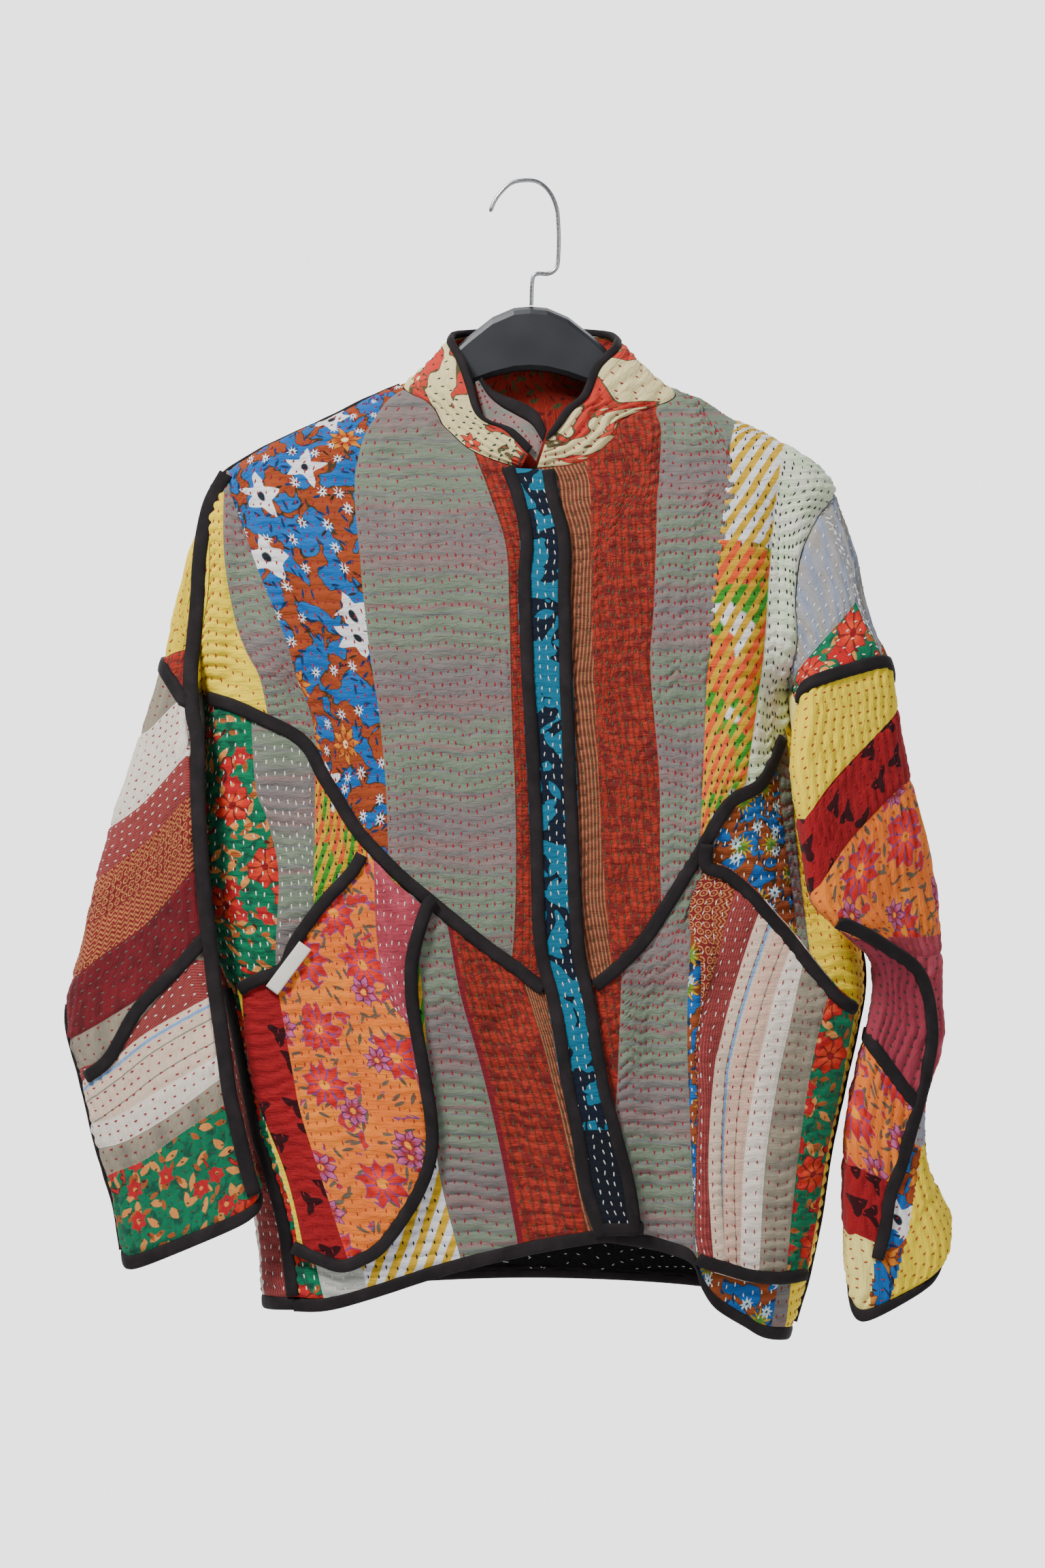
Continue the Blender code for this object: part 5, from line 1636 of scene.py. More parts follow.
class Edges:
    """The lines that the body's panels share, as many map places each."""

    FINE = 400

    def __init__(self) -> None:
        """Work the lines out, on the same curves as the solids."""
        middle = [((p[0] + q[0]) / 2, (p[1] + q[1]) / 2) for p, q in zip(BAND_RIGHT, BAND_LEFT)]
        meet = next(n for n, p in enumerate(middle) if p[1] < YOKE_RIGHT[-1][1])
        neck_end, yoke_end = middle[0], middle[meet]
        upper, lower = on_front(middle[:meet + 1]), on_front(middle[meet:])
        lower[-1] = on_front([(HEM_RIGHT[-1][0], HEM_RIGHT[-1][1] + TAPE_WIDTH)])[0]
        self.front_upper = cloth_line(upper, self.FINE)
        self.front_lower = cloth_line(lower, self.FINE)
        fine = self.FINE
        neck_right = np.vstack([[(-0.5, NECK_RIGHT[0][1])], on_front(list(NECK_RIGHT[1:]) + [neck_end])])
        neck_left = np.vstack([on_front([neck_end] + list(reversed(NECK_LEFT[1:]))),
                               [(0.5, NECK_LEFT[0][1])]])
        self.neck_right, self.neck_left = cloth_line(neck_right, fine), cloth_line(neck_left, fine)
        foot_right, foot_left = YOKE_RIGHT[0][1], YOKE_LEFT[0][1]
        yoke_right = np.vstack([[(-0.5, foot_right)], on_front(list(YOKE_RIGHT[1:]) + [yoke_end])])
        yoke_left = np.vstack([on_front([yoke_end] + list(reversed(YOKE_LEFT[1:]))), [(0.5, foot_left)]])
        self.yoke_right, self.yoke_left = cloth_line(yoke_right, fine), cloth_line(yoke_left, fine)
        flank = np.vstack([[(-0.5, z) for z in (foot_right, -400, -470)], on_front(SIDE_RIGHT[:-1]),
                           on_front([(SIDE_RIGHT[-1][0], SIDE_RIGHT[-1][1] + TAPE_WIDTH)])])
        self.flank_right = cloth_line(flank, fine)
        last = HEM_LEFT[-1][1] + TAPE_WIDTH
        flank = [(0.5, z) for z in (foot_left, -420, -500, -600, -700, last)]
        self.flank_left = cloth_line(flank, fine)
        self.rim_right = cloth_line(on_front(HEM_RIGHT), fine)
        self.cloth_right = cloth_line(on_front([(x, z + TAPE_WIDTH) for x, z in HEM_RIGHT]), fine)
        self.rim_left = cloth_line(np.vstack([on_front(HEM_LEFT[:-1]), [(0.5, HEM_LEFT[-1][1])]]), fine)
        raised = [(x, z + TAPE_WIDTH) for x, z in HEM_LEFT[:-1]]
        self.cloth_left = cloth_line(np.vstack([on_front(raised), [(0.5, last)]]), fine)
        corner = self.flank_right[-1]
        neck = [(0.5, NECK_LEFT[0][1])] + list(BACK_NECK) + [(1.5, NECK_RIGHT[0][1])]
        self.back_neck = cloth_line(neck, fine)
        cloth = [(0.5, last)] + list(BACK_HEM) + [(2 + corner[0], corner[1])]
        self.back_cloth = cloth_line(cloth, fine)
        self.back_rim = self.back_cloth - (0, TAPE_WIDTH)

    @staticmethod
    def ridge(side: int, top: float) -> Array:
        """The shoulder's ridge, from the neck point to the armhole."""
        return np.array([(side * 0.5, z) for z in np.linspace(top, ARMHOLE_TOP, 120)])

    @staticmethod
    def armhole(side: int, foot: float) -> Array:
        """The front half of an armhole, then the side fold down to the yoke's seam."""
        middle, reach = (ARMHOLE_TOP + ARMHOLE_FOOT) / 2, (ARMHOLE_TOP - ARMHOLE_FOOT) / 2
        turn = np.pi * (np.linspace(0, 1, 200) - 0.5)
        hole = np.stack([side * (0.5 - ARMHOLE_REACH[side] * np.cos(turn)), middle - reach * np.sin(turn)],
                        axis=-1)
        return joined(hole, np.array([hole[-1], (side * 0.5, foot)]))


# Borders of the prints on the wearer's right yoke, down the panel
SAGE_FROM_YELLOW = ((334, 690), (335, 819), (350, 911), (369, 962), (388, 1000), (400, 1066))
FLORAL_FROM_SAGE = ((353, 690), (359, 742), (375, 803), (391, 851), (410, 899), (430, 953), (442, 997),
                    (464, 1050), (479, 1124))
GREY_FROM_FLORAL = ((511, 620), (519, 679), (522, 742), (532, 819), (538, 883), (549, 972), (561, 1050),
                    (571, 1146), (577, 1268))
RED_FROM_GREY = ((700, 668), (735, 771), (746, 819), (749, 899), (753, 1050), (762, 1209), (772, 1400))

# On the left yoke
RED_FROM_BROWN = ((869, 690), (869, 799), (869, 899), (871, 980), (880, 1200), (892, 1420))
GREY_FROM_RED = ((945, 588), (960, 640), (964, 707), (957, 899), (952, 980), (962, 1156), (950, 1330))
STRIPES_FROM_GREY = ((1079, 608), (1067, 675), (1057, 745), (1046, 833), (1039, 903), (1034, 991),
                     (1032, 1050), (1022, 1250))
CREAM_FROM_STRIPES = ((1150, 635), (1135, 745), (1125, 850), (1118, 950), (1105, 1050), (1090, 1170))

# On the right lower front
SAGE_FROM_GREEN = ((374, 1058), (381, 1160), (398, 1203), (416, 1283), (412, 1410), (420, 1600), (482, 1905))
STRIPES_FROM_SAGE = ((472, 1112), (470, 1231), (468, 1322), (480, 1500), (510, 1700), (545, 1885))
GREY_FROM_STRIPES = ((600, 1283), (620, 1400), (636, 1600), (650, 1720), (683, 1850))
MAROON_FROM_GREY = ((664, 1335), (679, 1449), (713, 1580), (740, 1700), (765, 1830))
RED_FROM_MAROON = ((670, 1340), (686, 1449), (721, 1580), (748, 1700), (773, 1828))
BROWN_FROM_RED = ((776, 1415), (785, 1465), (821, 1620), (851, 1752), (866, 1815))

# On the left lower front
GREY_FROM_RED_LOW = ((912, 1410), (909, 1466), (905, 1571), (902, 1640), (918, 1720), (930, 1805))
FLORAL_FROM_GREY_LOW = ((1040, 1180), (1030, 1262), (1010, 1330), (1005, 1500), (1010, 1700), (1010, 1838))
SAGE_FROM_FLORAL_LOW = ((1128, 1100), (1150, 1262), (1164, 1370), (1170, 1500), (1160, 1700), (1130, 1930))
YELLOW_FROM_SAGE_LOW = ((1150, 1068), (1168, 1262), (1180, 1370), (1190, 1500), (1175, 1700), (1148, 1945))

# On the right pocket
RED_FROM_YELLOW_POCKET = ((366, 1440), (381, 1580), (430, 1717), (455, 1826))
ORANGE_FROM_RED_POCKET = ((414, 1425), (438, 1564), (453, 1637), (500, 1780), (523, 1846))
PINK_FROM_ORANGE_POCKET = ((548, 1268), (556, 1350), (566, 1419), (582, 1469), (606, 1503), (612, 1560),
                           (626, 1620), (633, 1680), (620, 1745))

# On the left pocket
BRICK_FROM_RINGS = ((1079, 1286), (1050, 1380), (1024, 1470), (1016, 1530), (1019, 1600), (1019, 1700),
                    (1020, 1800), (1032, 1850))
CREAM_FROM_BRICK = ((1112, 1317), (1078, 1420), (1048, 1520), (1038, 1571), (1032, 1700), (1040, 1852))
PINKISH_FROM_CREAM = ((1139, 1345), (1098, 1450), (1065, 1571), (1052, 1700), (1056, 1856))
WHITE_FROM_PINKISH = ((1160, 1370), (1126, 1470), (1103, 1571), (1085, 1700), (1081, 1862))
TAUPE_FROM_WHITE = ((1178, 1392), (1155, 1480), (1134, 1571), (1115, 1700), (1108, 1866))
GREEN_FROM_TAUPE = ((1214, 1434), (1195, 1500), (1179, 1571), (1160, 1700), (1142, 1868))


@dataclass
class JacketBody:
    """The back, the four front panels and the lining inside them."""

    edges: Edges

    def build(self) -> None:
        """Make every panel of the body."""
        self.yokes()
        self.lowers()
        self.back()
        self.lining()

    def yokes(self) -> None:
        """The upper fronts, from the shoulders and the neck to the curved seams."""
        e = self.edges
        top = joined(e.ridge(-1, NECK_RIGHT[0][1])[::-1], e.neck_right)
        side = e.armhole(-1, YOKE_RIGHT[0][1])
        panel = Panel(
            "yoke_front_right_cloth", body, 1,
            (Strip(Print.YELLOW, Thread.RUST, SAGE_FROM_YELLOW),
             Strip(Print.SAGE, Thread.RED, FLORAL_FROM_SAGE),
             Strip(Print.BLUE_FLORAL, Thread.RED, GREY_FROM_FLORAL),
             Strip(Print.SAGE, Thread.RED, RED_FROM_GREY),
             Strip(Print.ORANGE_RED, Thread.OLIVE)),
            quilting=Quilting(seed=11), level=True, nodes=("yoke_front_right",),
            flat=(0.26, 0.42), area=0.075)
        panel.sew(panel.split(top, e.yoke_right, side, e.front_upper))
        top = joined(e.neck_left, e.ridge(1, NECK_LEFT[0][1]))
        side = e.armhole(1, YOKE_LEFT[0][1])
        panel = Panel(
            "yoke_front_left_cloth", body, 1,
            (Strip(Print.BROWN_RIB, Thread.OLIVE, RED_FROM_BROWN),
             Strip(Print.ORANGE_RED, Thread.OLIVE, GREY_FROM_RED),
             Strip(Print.SAGE, Thread.RED, STRIPES_FROM_GREY),
             Strip(Print.YELLOW_WHITE, Thread.BLACK, CREAM_FROM_STRIPES,
                   ((0.47, Print.YELLOW_GREEN, Thread.BLACK),)),
             Strip(Print.PALE_GREEN, Thread.BLACK)),
            quilting=Quilting(seed=23), level=True, nodes=("yoke_front_left",),
            flat=(0.22, 0.42), area=0.06)
        panel.sew(panel.split(top, e.yoke_left, e.front_upper, side))

    def lowers(self) -> None:
        """The lower fronts, from the curved seams to the hem."""
        e = self.edges
        panel = Panel(
            "lower_front_right_cloth", body, 1,
            (Strip(Print.GREEN_ROSE, Thread.WHITE, SAGE_FROM_GREEN),
             Strip(Print.SAGE, Thread.WHITE, STRIPES_FROM_SAGE, ((0.75, Print.BACK_GREY, Thread.WHITE),)),
             Strip(Print.YELLOW_GREEN, Thread.BLACK, GREY_FROM_STRIPES,
                   ((0.62, Print.YELLOW_WHITE, Thread.BLACK),)),
             Strip(Print.SAGE, Thread.RED, MAROON_FROM_GREY),
             Strip(Print.MAROON, Thread.RED, RED_FROM_MAROON),
             Strip(Print.ORANGE_RED, Thread.OLIVE, BROWN_FROM_RED),
             Strip(Print.BROWN_RIB, Thread.OLIVE)),
            quilting=Quilting(seed=37), level=True, nodes=("lower_front_right",),
            flat=(0.30, 0.42), area=0.088)
        panel.sew(panel.split(e.yoke_right, e.cloth_right, e.flank_right, e.front_lower))
        panel = Panel(
            "lower_front_left_cloth", body, 1,
            (Strip(Print.ORANGE_RED, Thread.OLIVE, GREY_FROM_RED_LOW),
             Strip(Print.SAGE, Thread.RED, FLORAL_FROM_GREY_LOW),
             Strip(Print.BLUE_YELLOW_FLORAL, Thread.WHITE, SAGE_FROM_FLORAL_LOW),
             Strip(Print.SAGE, Thread.RED, YELLOW_FROM_SAGE_LOW),
             Strip(Print.YELLOW, Thread.RUST)),
            quilting=Quilting(seed=41), level=True, nodes=("lower_front_left",),
            flat=(0.22, 0.42), area=0.066)
        panel.sew(panel.split(e.yoke_left, e.cloth_left, e.front_lower, e.flank_left))

    def back(self) -> None:
        """The back, whose strips are plausible ones, as the photograph doesn't show it."""
        e = self.edges
        left = joined(e.armhole(1, YOKE_LEFT[0][1]) * (-1, 1) + (1, 0), e.flank_left)
        right = joined(e.armhole(-1, YOKE_RIGHT[0][1]) * (-1, 1) + (1, 0), e.flank_right + (2, 0))
        top = joined(e.ridge(1, NECK_LEFT[0][1])[::-1], e.back_neck,
                     e.ridge(-1, NECK_RIGHT[0][1]) * (1, 1) + (2, 0))
        cottons = (
            (Print.YELLOW, Thread.RUST), (Print.BLUE_YELLOW_FLORAL, Thread.WHITE), (Print.SAGE, Thread.RED),
            (Print.ORANGE_FLORAL, Thread.RUST), (Print.BRICK, Thread.WHITE), (Print.GREEN_ROSE, Thread.WHITE),
            (Print.SAGE, Thread.RED), (Print.BLUE_FLORAL, Thread.RED), (Print.WHITE, Thread.RED),
            (Print.BRICK, Thread.WHITE))
        panel = Panel("back_panel_cloth", body, 1, [Strip(*c) for c in cottons], step=BACK_STEP,
                      quilting=Quilting(seed=53), level=True, nodes=("back_panel",), flat=(0.50, 0.66),
                      area=0.27)
        rows = int(BACK_HEIGHT / BACK_STEP)
        columns_each = int(BACK_WIDTH / len(cottons) / BACK_STEP)
        total = columns_each * len(cottons)
        grid = coons(even_places(top, total), even_places(e.back_cloth, total), even_places(left, rows),
                     even_places(right, rows))
        cuts = [k * columns_each for k in range(len(cottons) + 1)]
        panel.sew([grid[:, a:b + 1] for a, b in zip(cuts, cuts[1:])])

    def lining(self) -> None:
        """The black inner side, with its own rows of white stitches."""
        e = self.edges
        front = np.vstack([even(e.neck_right, 60), even(e.neck_left, 60)[1:]])
        neck = np.vstack([front, even(e.back_neck, 120)[1:]])
        hem = np.vstack([even(e.rim_right, 60), even(e.rim_left, 60)[1:], even(e.back_rim, 120)[1:]])
        short_of_hem, rows, facing = 5.0, 120, 20
        hem = hem + (0, short_of_hem)
        share = np.linspace(0, 1, rows + 1)[:, None, None]
        grid = np.swapaxes(neck[None] * (1 - share) + hem[None] * share, 0, 1)[::-1]
        strips = (Strip(Print.INNER_NECK, Thread.OLIVE), Strip(Print.LINING, Thread.WHITE))
        panel = Panel("lining_cloth", body, 1, strips, face=LINING_FACE, flat=(0.92, 0.62), stitch_from=0.8,
                      quilting=Quilting(seed=61, puff_mm=0.5, dash_mm=2.4, thread_mm=0.6))
        panel.sew([grid[:, :facing + 1], grid[:, facing:]])


@dataclass
class Sleeve:
    """One arm: the cap above the armhole binding, the sleeve below it, and its cuff."""

    side: str
    arm: Arm
    cap_first: tuple[Print, Thread]
    cap_borders: tuple[tuple[Line, Print, Thread], ...]
    first: tuple[Print, Thread]
    borders: tuple[tuple[Line, Print, Thread], ...]
    cap_flat: tuple[float, float]
    flat: tuple[float, float]
    seed: int
    overlays: tuple[tuple[Line, Print], ...] = ()

    def build(self) -> None:
        """Make the cap, the sleeve, the lining and the cuff's binding."""
        outward, cuff = self.arm.side, self.arm.cuff
        self.tube(f"sleeve_cap_{self.side}", self.cap_first, self.cap_borders, (0.1, ARM_SEAM), self.cap_flat,
                  self.seed, "yellow_patchwork" if self.side == "right" else "grey_patchwork")
        self.tube(f"sleeve_{self.side}", self.first, self.borders, (ARM_SEAM, cuff - CUFF_SHARE[outward]),
                  self.flat, self.seed + 7, "red_patchwork" if self.side == "right" else "orange_patchwork",
                  self.overlays)
        self.inside(0.4)
        ring = np.linspace(-1, 1, 97)[:-1]
        cloth = np.stack([ring, np.full_like(ring, cuff - CUFF_SHARE[outward])], axis=-1)
        rim = np.stack([ring, np.full_like(ring, float(cuff))], axis=-1)
        Binding(f"cuff_binding_{self.side}_tape", self.arm, outward, cloth, rim, f"sleeve_{self.side}_cloth",
                f"cuff_binding_{self.side}", closed=True).build()

    def tube(self, node: str, first: tuple[Print, Thread], borders: tuple[tuple[Line, Print, Thread], ...],
             stretch: tuple[float, float], flat: tuple[float, float], seed: int, slot: str,
             overlays: tuple[tuple[Line, Print], ...] = ()) -> None:
        """Make a stretch of the arm from strips that run round it on a slant.

        Args:
            node: The solid that it dresses.
            first: The print and thread of the strip nearest the shoulder.
            borders: The line where each further strip starts, with its print and thread.
            stretch: Where the cloth starts and stops along the arm.
            flat: The cut's size in metres.
            seed: Picks its own pattern of stitches.
            overlays: Outlines seen from the front, each with the print that fills it.
        """
        low, high = stretch
        around = np.linspace(-1, 1, 121)
        front = np.where(np.abs(around) > 0.5, np.sign(around) - around, around)
        lines = [np.full_like(around, low)]
        strips = [Strip(*first)]
        for border, cotton, thread in borders:
            places = self.arm.find(smooth(seen(border), 12), (0.0, (low + high) / 2))
            order = np.argsort(places[:, 0])
            level = np.interp(front, places[order, 0], places[order, 1])
            lines.append(np.clip(level, low, high - 0.05))
            strips.append(Strip(cotton, thread))
        lines.append(np.full_like(around, high))
        for k in range(1, len(lines)):
            lines[k] = np.maximum(lines[k], lines[k - 1])
        grids = []
        for above, below in zip(lines, lines[1:]):
            middle = self.arm(np.zeros(2), np.array([above.mean(), below.mean()]))
            columns = max(int(np.linalg.norm(middle[1] - middle[0]) / FINE_STEP), 2)
            share = np.linspace(0, 1, columns + 1)[None, :]
            s = above[:, None] * (1 - share) + below[:, None] * share
            grids.append(np.stack([np.repeat(around[:, None], columns + 1, 1), s], axis=-1))
        Panel(node + "_cloth", self.arm, self.arm.side, strips, quilting=Quilting(seed=seed, dash_mm=3.2),
              nodes=(node,), flat=flat, slot=slot, overlays=overlays).sew(grids)

    def inside(self, start: float) -> None:
        """The black lining inside the arm."""
        around = np.linspace(-1, 1, 61)
        down = np.linspace(start, self.arm.cuff - 0.3, 70)
        phi, s = np.meshgrid(around, down, indexing="ij")
        strips = (Strip(Print.LINING, Thread.WHITE),)
        panel = Panel(f"sleeve_lining_{self.side}", self.arm, self.arm.side, strips, face=LINING_FACE,
                      quilting=Quilting(seed=self.seed, puff_mm=0.4), flat=self.flat, stitches=False)
        panel.sew([np.stack([phi, s], axis=-1)])


@dataclass
class Collar:
    """The standing collar, its inner face and its bound upper edge."""

    edges: Edges
    seam_gap: float = 1.0
    tape: float = 5.5
    rows: int = 24
    columns: int = 260
    first_strip: int = 105

    def __post_init__(self) -> None:
        """Work out the collar's seam and upper edge."""
        e = self.edges
        runs = ((e.neck_right[::-1], COLLAR_TOP_RIGHT, 60), (e.back_neck[::-1], COLLAR_TOP_BACK, 80),
                (e.neck_left[::-1], COLLAR_TOP_LEFT, 60))
        low, high = [], []
        for places, top, count in runs:
            line = even_places(places, count)
            keep = len(low) > 0
            low.append(body(line[:, 0], line[:, 1])[keep:])
            high.append(smooth(top, count)[keep:])
        self.low, self.high = np.vstack(low), np.vstack(high)
        self.count = len(self.low) - 1

    def __call__(self, u: Array, v: Array) -> Array:
        """The collar's middle surface."""
        own = np.arange(self.count + 1)
        low, high = interpolated(u, own, self.low), interpolated(u, own, self.high)
        return low + (high - low) * np.asarray(v)[..., None]

    def build(self) -> None:
        """Make the collar."""
        u = np.linspace(1, self.count - 1, self.columns)
        height = np.linalg.norm(self(u, np.ones_like(u)) - self(u, np.zeros_like(u)), axis=-1)
        share = np.linspace(0, 1, self.rows)[:, None]
        first, last = self.seam_gap / height, 1 - self.tape / height
        v = first[None] + (last - first)[None] * share
        grid = np.stack([np.repeat(u[None], self.rows, 0), v], axis=-1)
        strips = (Strip(Print.COLLAR, Thread.GREEN), Strip(Print.COLLAR, Thread.RED))
        panel = Panel("collar_cloth", self, -1, strips, quilting=Quilting(seed=71, dash_mm=3.2),
                      nodes=("collar",), flat=(0.30, 0.035), slot="cream_patchwork")
        panel.sew([grid[:, :self.first_strip + 1], grid[:, self.first_strip:]])
        strips = (Strip(Print.INNER_NECK, Thread.WHITE),)
        inner = Panel("collar_inner_cloth", self, -1, strips, face=LINING_FACE, flat=(0.30, 0.035),
                      quilting=Quilting(seed=73, puff_mm=0.5), slot="cream_patchwork", stitches=False)
        inner.sew([grid[::2, ::2]])
        Binding("collar_binding_tape", self, -1, np.stack([u, v[-1]], axis=-1),
                np.stack([u, np.ones_like(u)], axis=-1), "collar_cloth", "collar_binding").build()


# The left front's collar end, which shows inside the neck behind the right one: its lower and its bound edge
COLLAR_END_LOW = ((700, -20), (706, -22), (716, -24), (738, -27), (764, -29), (788, -30))
COLLAR_END_LOW_DOWN = (566, 596, 624, 644, 658, 684)
COLLAR_END_TOP = ((706, -16), (722, -18), (742, -20), (764, -22), (786, -25), (800, -27))
COLLAR_END_TOP_DOWN = (562, 583, 596, 607, 622, 648)


@dataclass
class CollarEnd:
    """The collar's other end, lapped inside the neck and bound along its free edge."""

    def line(self, across: Line, down: Sequence[float]) -> Array:
        """Points in space from places in the photograph and their depth.

        Args:
            across: The place across in pixels, with the depth in millimetres.
            down: The place down in pixels.

        Returns:
            Points in millimetres.
        """
        flat = seen([(x, y) for (x, _), y in zip(across, down)])
        return smooth([(x, depth, z) for (x, z), (_, depth) in zip(flat, across)], 60)

    def build(self) -> None:
        """Make the cloth and its binding."""
        bridge = Bridge(self.line(COLLAR_END_LOW, COLLAR_END_LOW_DOWN),
                        self.line(COLLAR_END_TOP, COLLAR_END_TOP_DOWN))
        v, u = np.meshgrid(np.linspace(0, 0.8, 10), np.linspace(0, 1, 40), indexing="ij")
        panel = Panel("collar_end_cloth", bridge, 1, (Strip(Print.COLLAR_END, Thread.RED),), face=0.2,
                      quilting=Quilting(seed=79, puff_mm=0.8, dash_mm=2.6, rows_mm=4.5), flat=(0.062, 0.012),
                      slot="cream_patchwork")
        panel.sew([np.stack([u, v], axis=-1)])
        u = np.linspace(0, 1, 60)
        Binding("collar_end_binding_tape", bridge, 1, np.stack([u, np.full(60, 0.78)], axis=-1),
                np.stack([u, np.full(60, 1.25)], axis=-1), "collar_end_cloth").build()


def front_line(points: Line, step: float = 2.5) -> Array:
    """Body map places along a smooth line seen from the front, at even steps."""
    length = np.linalg.norm(np.diff(np.array(points, float), axis=0), axis=1).sum()
    return on_front(smooth(points, max(int(length / step), 4)))


def shifted(points: Line, dx: float, dz: float) -> list[tuple[float, float]]:
    """The same line moved by (dx, dz)."""
    return [(x + dx, z + dz) for x, z in points]


# Where the tapes' own ends lie, past the ends of the edges that they bind
MOUTH_END_RIGHT = (-106, -445)
MOUTH_END_LEFT = (117, -436)
EDGE_END_RIGHT = (-60, -473)
EDGE_START_LEFT = (112, -704)
EDGE_END_LEFT = (178, -717)
SIDE_END_RIGHT = (-151.5, -731)
SEAM_END_RIGHT = (-208, -497)


@dataclass
class Trim:
    """The placket band, the pockets, the label and the tapes over the seams."""

    edges: Edges
    seam_top: float = 3.7
    pocket_tape_top: float = 8.6
    placket_top: float = 6.4

    def build(self) -> None:
        """Make every piece of trim."""
        self.placket()
        self.pockets()
        self.seam_tapes()
        self.hem_bindings()

    def placket(self) -> None:
        """The printed band down the front edge, between its two tapes."""
        top = front_line((BAND_RIGHT[0], BAND_LEFT[0]), 1.0)
        foot = front_line((BAND_RIGHT[-1], BAND_LEFT[-1]), 1.0)
        start, end = front_line(BAND_RIGHT), front_line(BAND_LEFT)
        quilting = Quilting(seed=83, rows_mm=5.0, pitch_mm=7.0, puff_mm=0.8, thread_mm=0.72)
        panel = Panel("placket_band_cloth", body, 1,
                      (Strip(Print.TEAL, Thread.WHITE, (), ((0.86, Print.NAVY, Thread.WHITE),)),),
                      face=BAND_FACE, quilting=quilting, nodes=("placket_band",), flat=(0.034, 0.51),
                      slot="teal_band")
        panel.sew(panel.split(top, foot, start, end))
        half = TAPE_WIDTH / 2
        for name, line, dx in (("placket_tape_outer", BAND_RIGHT, half),
                               ("placket_tape_edge", BAND_LEFT, -half)):
            Tape(name + "_bias", body, 1, front_line(shifted(line, dx, 0)), self.placket_top,
                 sewn_to="placket_band_cloth", node=name, seed=len(name)).build()
        low = shifted((BAND_RIGHT[-1], BAND_LEFT[-1]), 0, 4)
        Tape("placket_tape_foot_bias", body, 1, front_line(low, 2.0), self.placket_top,
             sewn_to="placket_band_cloth", seed=5).build()

    def pockets(self) -> None:
        """Both curved patch pockets with their bindings, and the blank label."""
        edges = (POCKET_RIGHT_TOP, POCKET_RIGHT_FOOT, POCKET_RIGHT_SEAM, POCKET_RIGHT_SIDE)
        top, foot, start, end = (front_line(edge, 1.5) for edge in edges)
        panel = Panel("pocket_right_cloth", body, 1,
                      (Strip(Print.YELLOW, Thread.WHITE, RED_FROM_YELLOW_POCKET),
                       Strip(Print.RED_CLOVER, Thread.RED, ORANGE_FROM_RED_POCKET),
                       Strip(Print.ORANGE_FLORAL, Thread.RUST, PINK_FROM_ORANGE_POCKET),
                       Strip(Print.PINK, Thread.WHITE)),
                      face=POCKET_FACE, quilting=Quilting(seed=91, thread_mm=0.72), level=True,
                      nodes=("pocket_right",), flat=(0.13, 0.26), slot="orange_patchwork",
                      rests_on=("lower_front_right_cloth",))
        panel.sew(panel.split(top, foot, start, end))
        edges = (POCKET_LEFT_TOP, POCKET_LEFT_FOOT, POCKET_LEFT_SIDE, POCKET_LEFT_SEAM)
        top, foot, start, end = (front_line(edge, 1.5) for edge in edges)
        panel = Panel("pocket_left_cloth", body, 1,
                      (Strip(Print.RINGS_ONLY, Thread.WHITE, BRICK_FROM_RINGS),
                       Strip(Print.BRICK, Thread.WHITE, CREAM_FROM_BRICK),
                       Strip(Print.CREAM, Thread.RED, PINKISH_FROM_CREAM),
                       Strip(Print.PINKISH, Thread.RED, WHITE_FROM_PINKISH),
                       Strip(Print.WHITE, Thread.RED, TAUPE_FROM_WHITE),
                       Strip(Print.TAUPE, Thread.RED, GREEN_FROM_TAUPE),
                       Strip(Print.GREEN_ROSE, Thread.RUST)),
                      face=POCKET_FACE, quilting=Quilting(seed=97, thread_mm=0.72), level=True,
                      nodes=("pocket_left",), flat=(0.11, 0.28), slot="red_patchwork",
                      rests_on=("lower_front_left_cloth",))
        panel.sew(panel.split(top, foot, start, end))
        right_edge = list(POCKET_RIGHT_SIDE[:-1]) + list(reversed(POCKET_RIGHT_FOOT))
        tapes = (
            ("pocket_opening_binding_right", list(POCKET_RIGHT_MOUTH) + [MOUTH_END_RIGHT]),
            ("pocket_opening_binding_left", [MOUTH_END_LEFT] + shifted(POCKET_LEFT_TOP, -3, -4)),
            ("pocket_edge_binding_right", [EDGE_END_RIGHT] + shifted(right_edge, -3, 2)),
            ("pocket_edge_binding_left",
             [EDGE_START_LEFT] + shifted(POCKET_LEFT_FOOT[:-1], 3, 4) + [EDGE_END_LEFT]),
        )
        for k, (name, line) in enumerate(tapes):
            Tape(name + "_bias", body, 1, front_line(line), self.pocket_tape_top,
                 sewn_to="pocket_right_cloth" if name.endswith("right") else "pocket_left_cloth", node=name,
                 seed=20 + k).build()
        label = Tape("pocket_label_tape", body, 1, front_line(POCKET_LABEL, 1.5), self.pocket_tape_top + 1.0,
                     self.pocket_tape_top - 0.6, sewn_to="pocket_right_cloth", node="pocket_label",
                     slot="woven_label", finish=Print.LABEL, width=TAPE_WIDTH + 0.6, wobble=0.1,
                     edge_share=0.8)
        label.build()

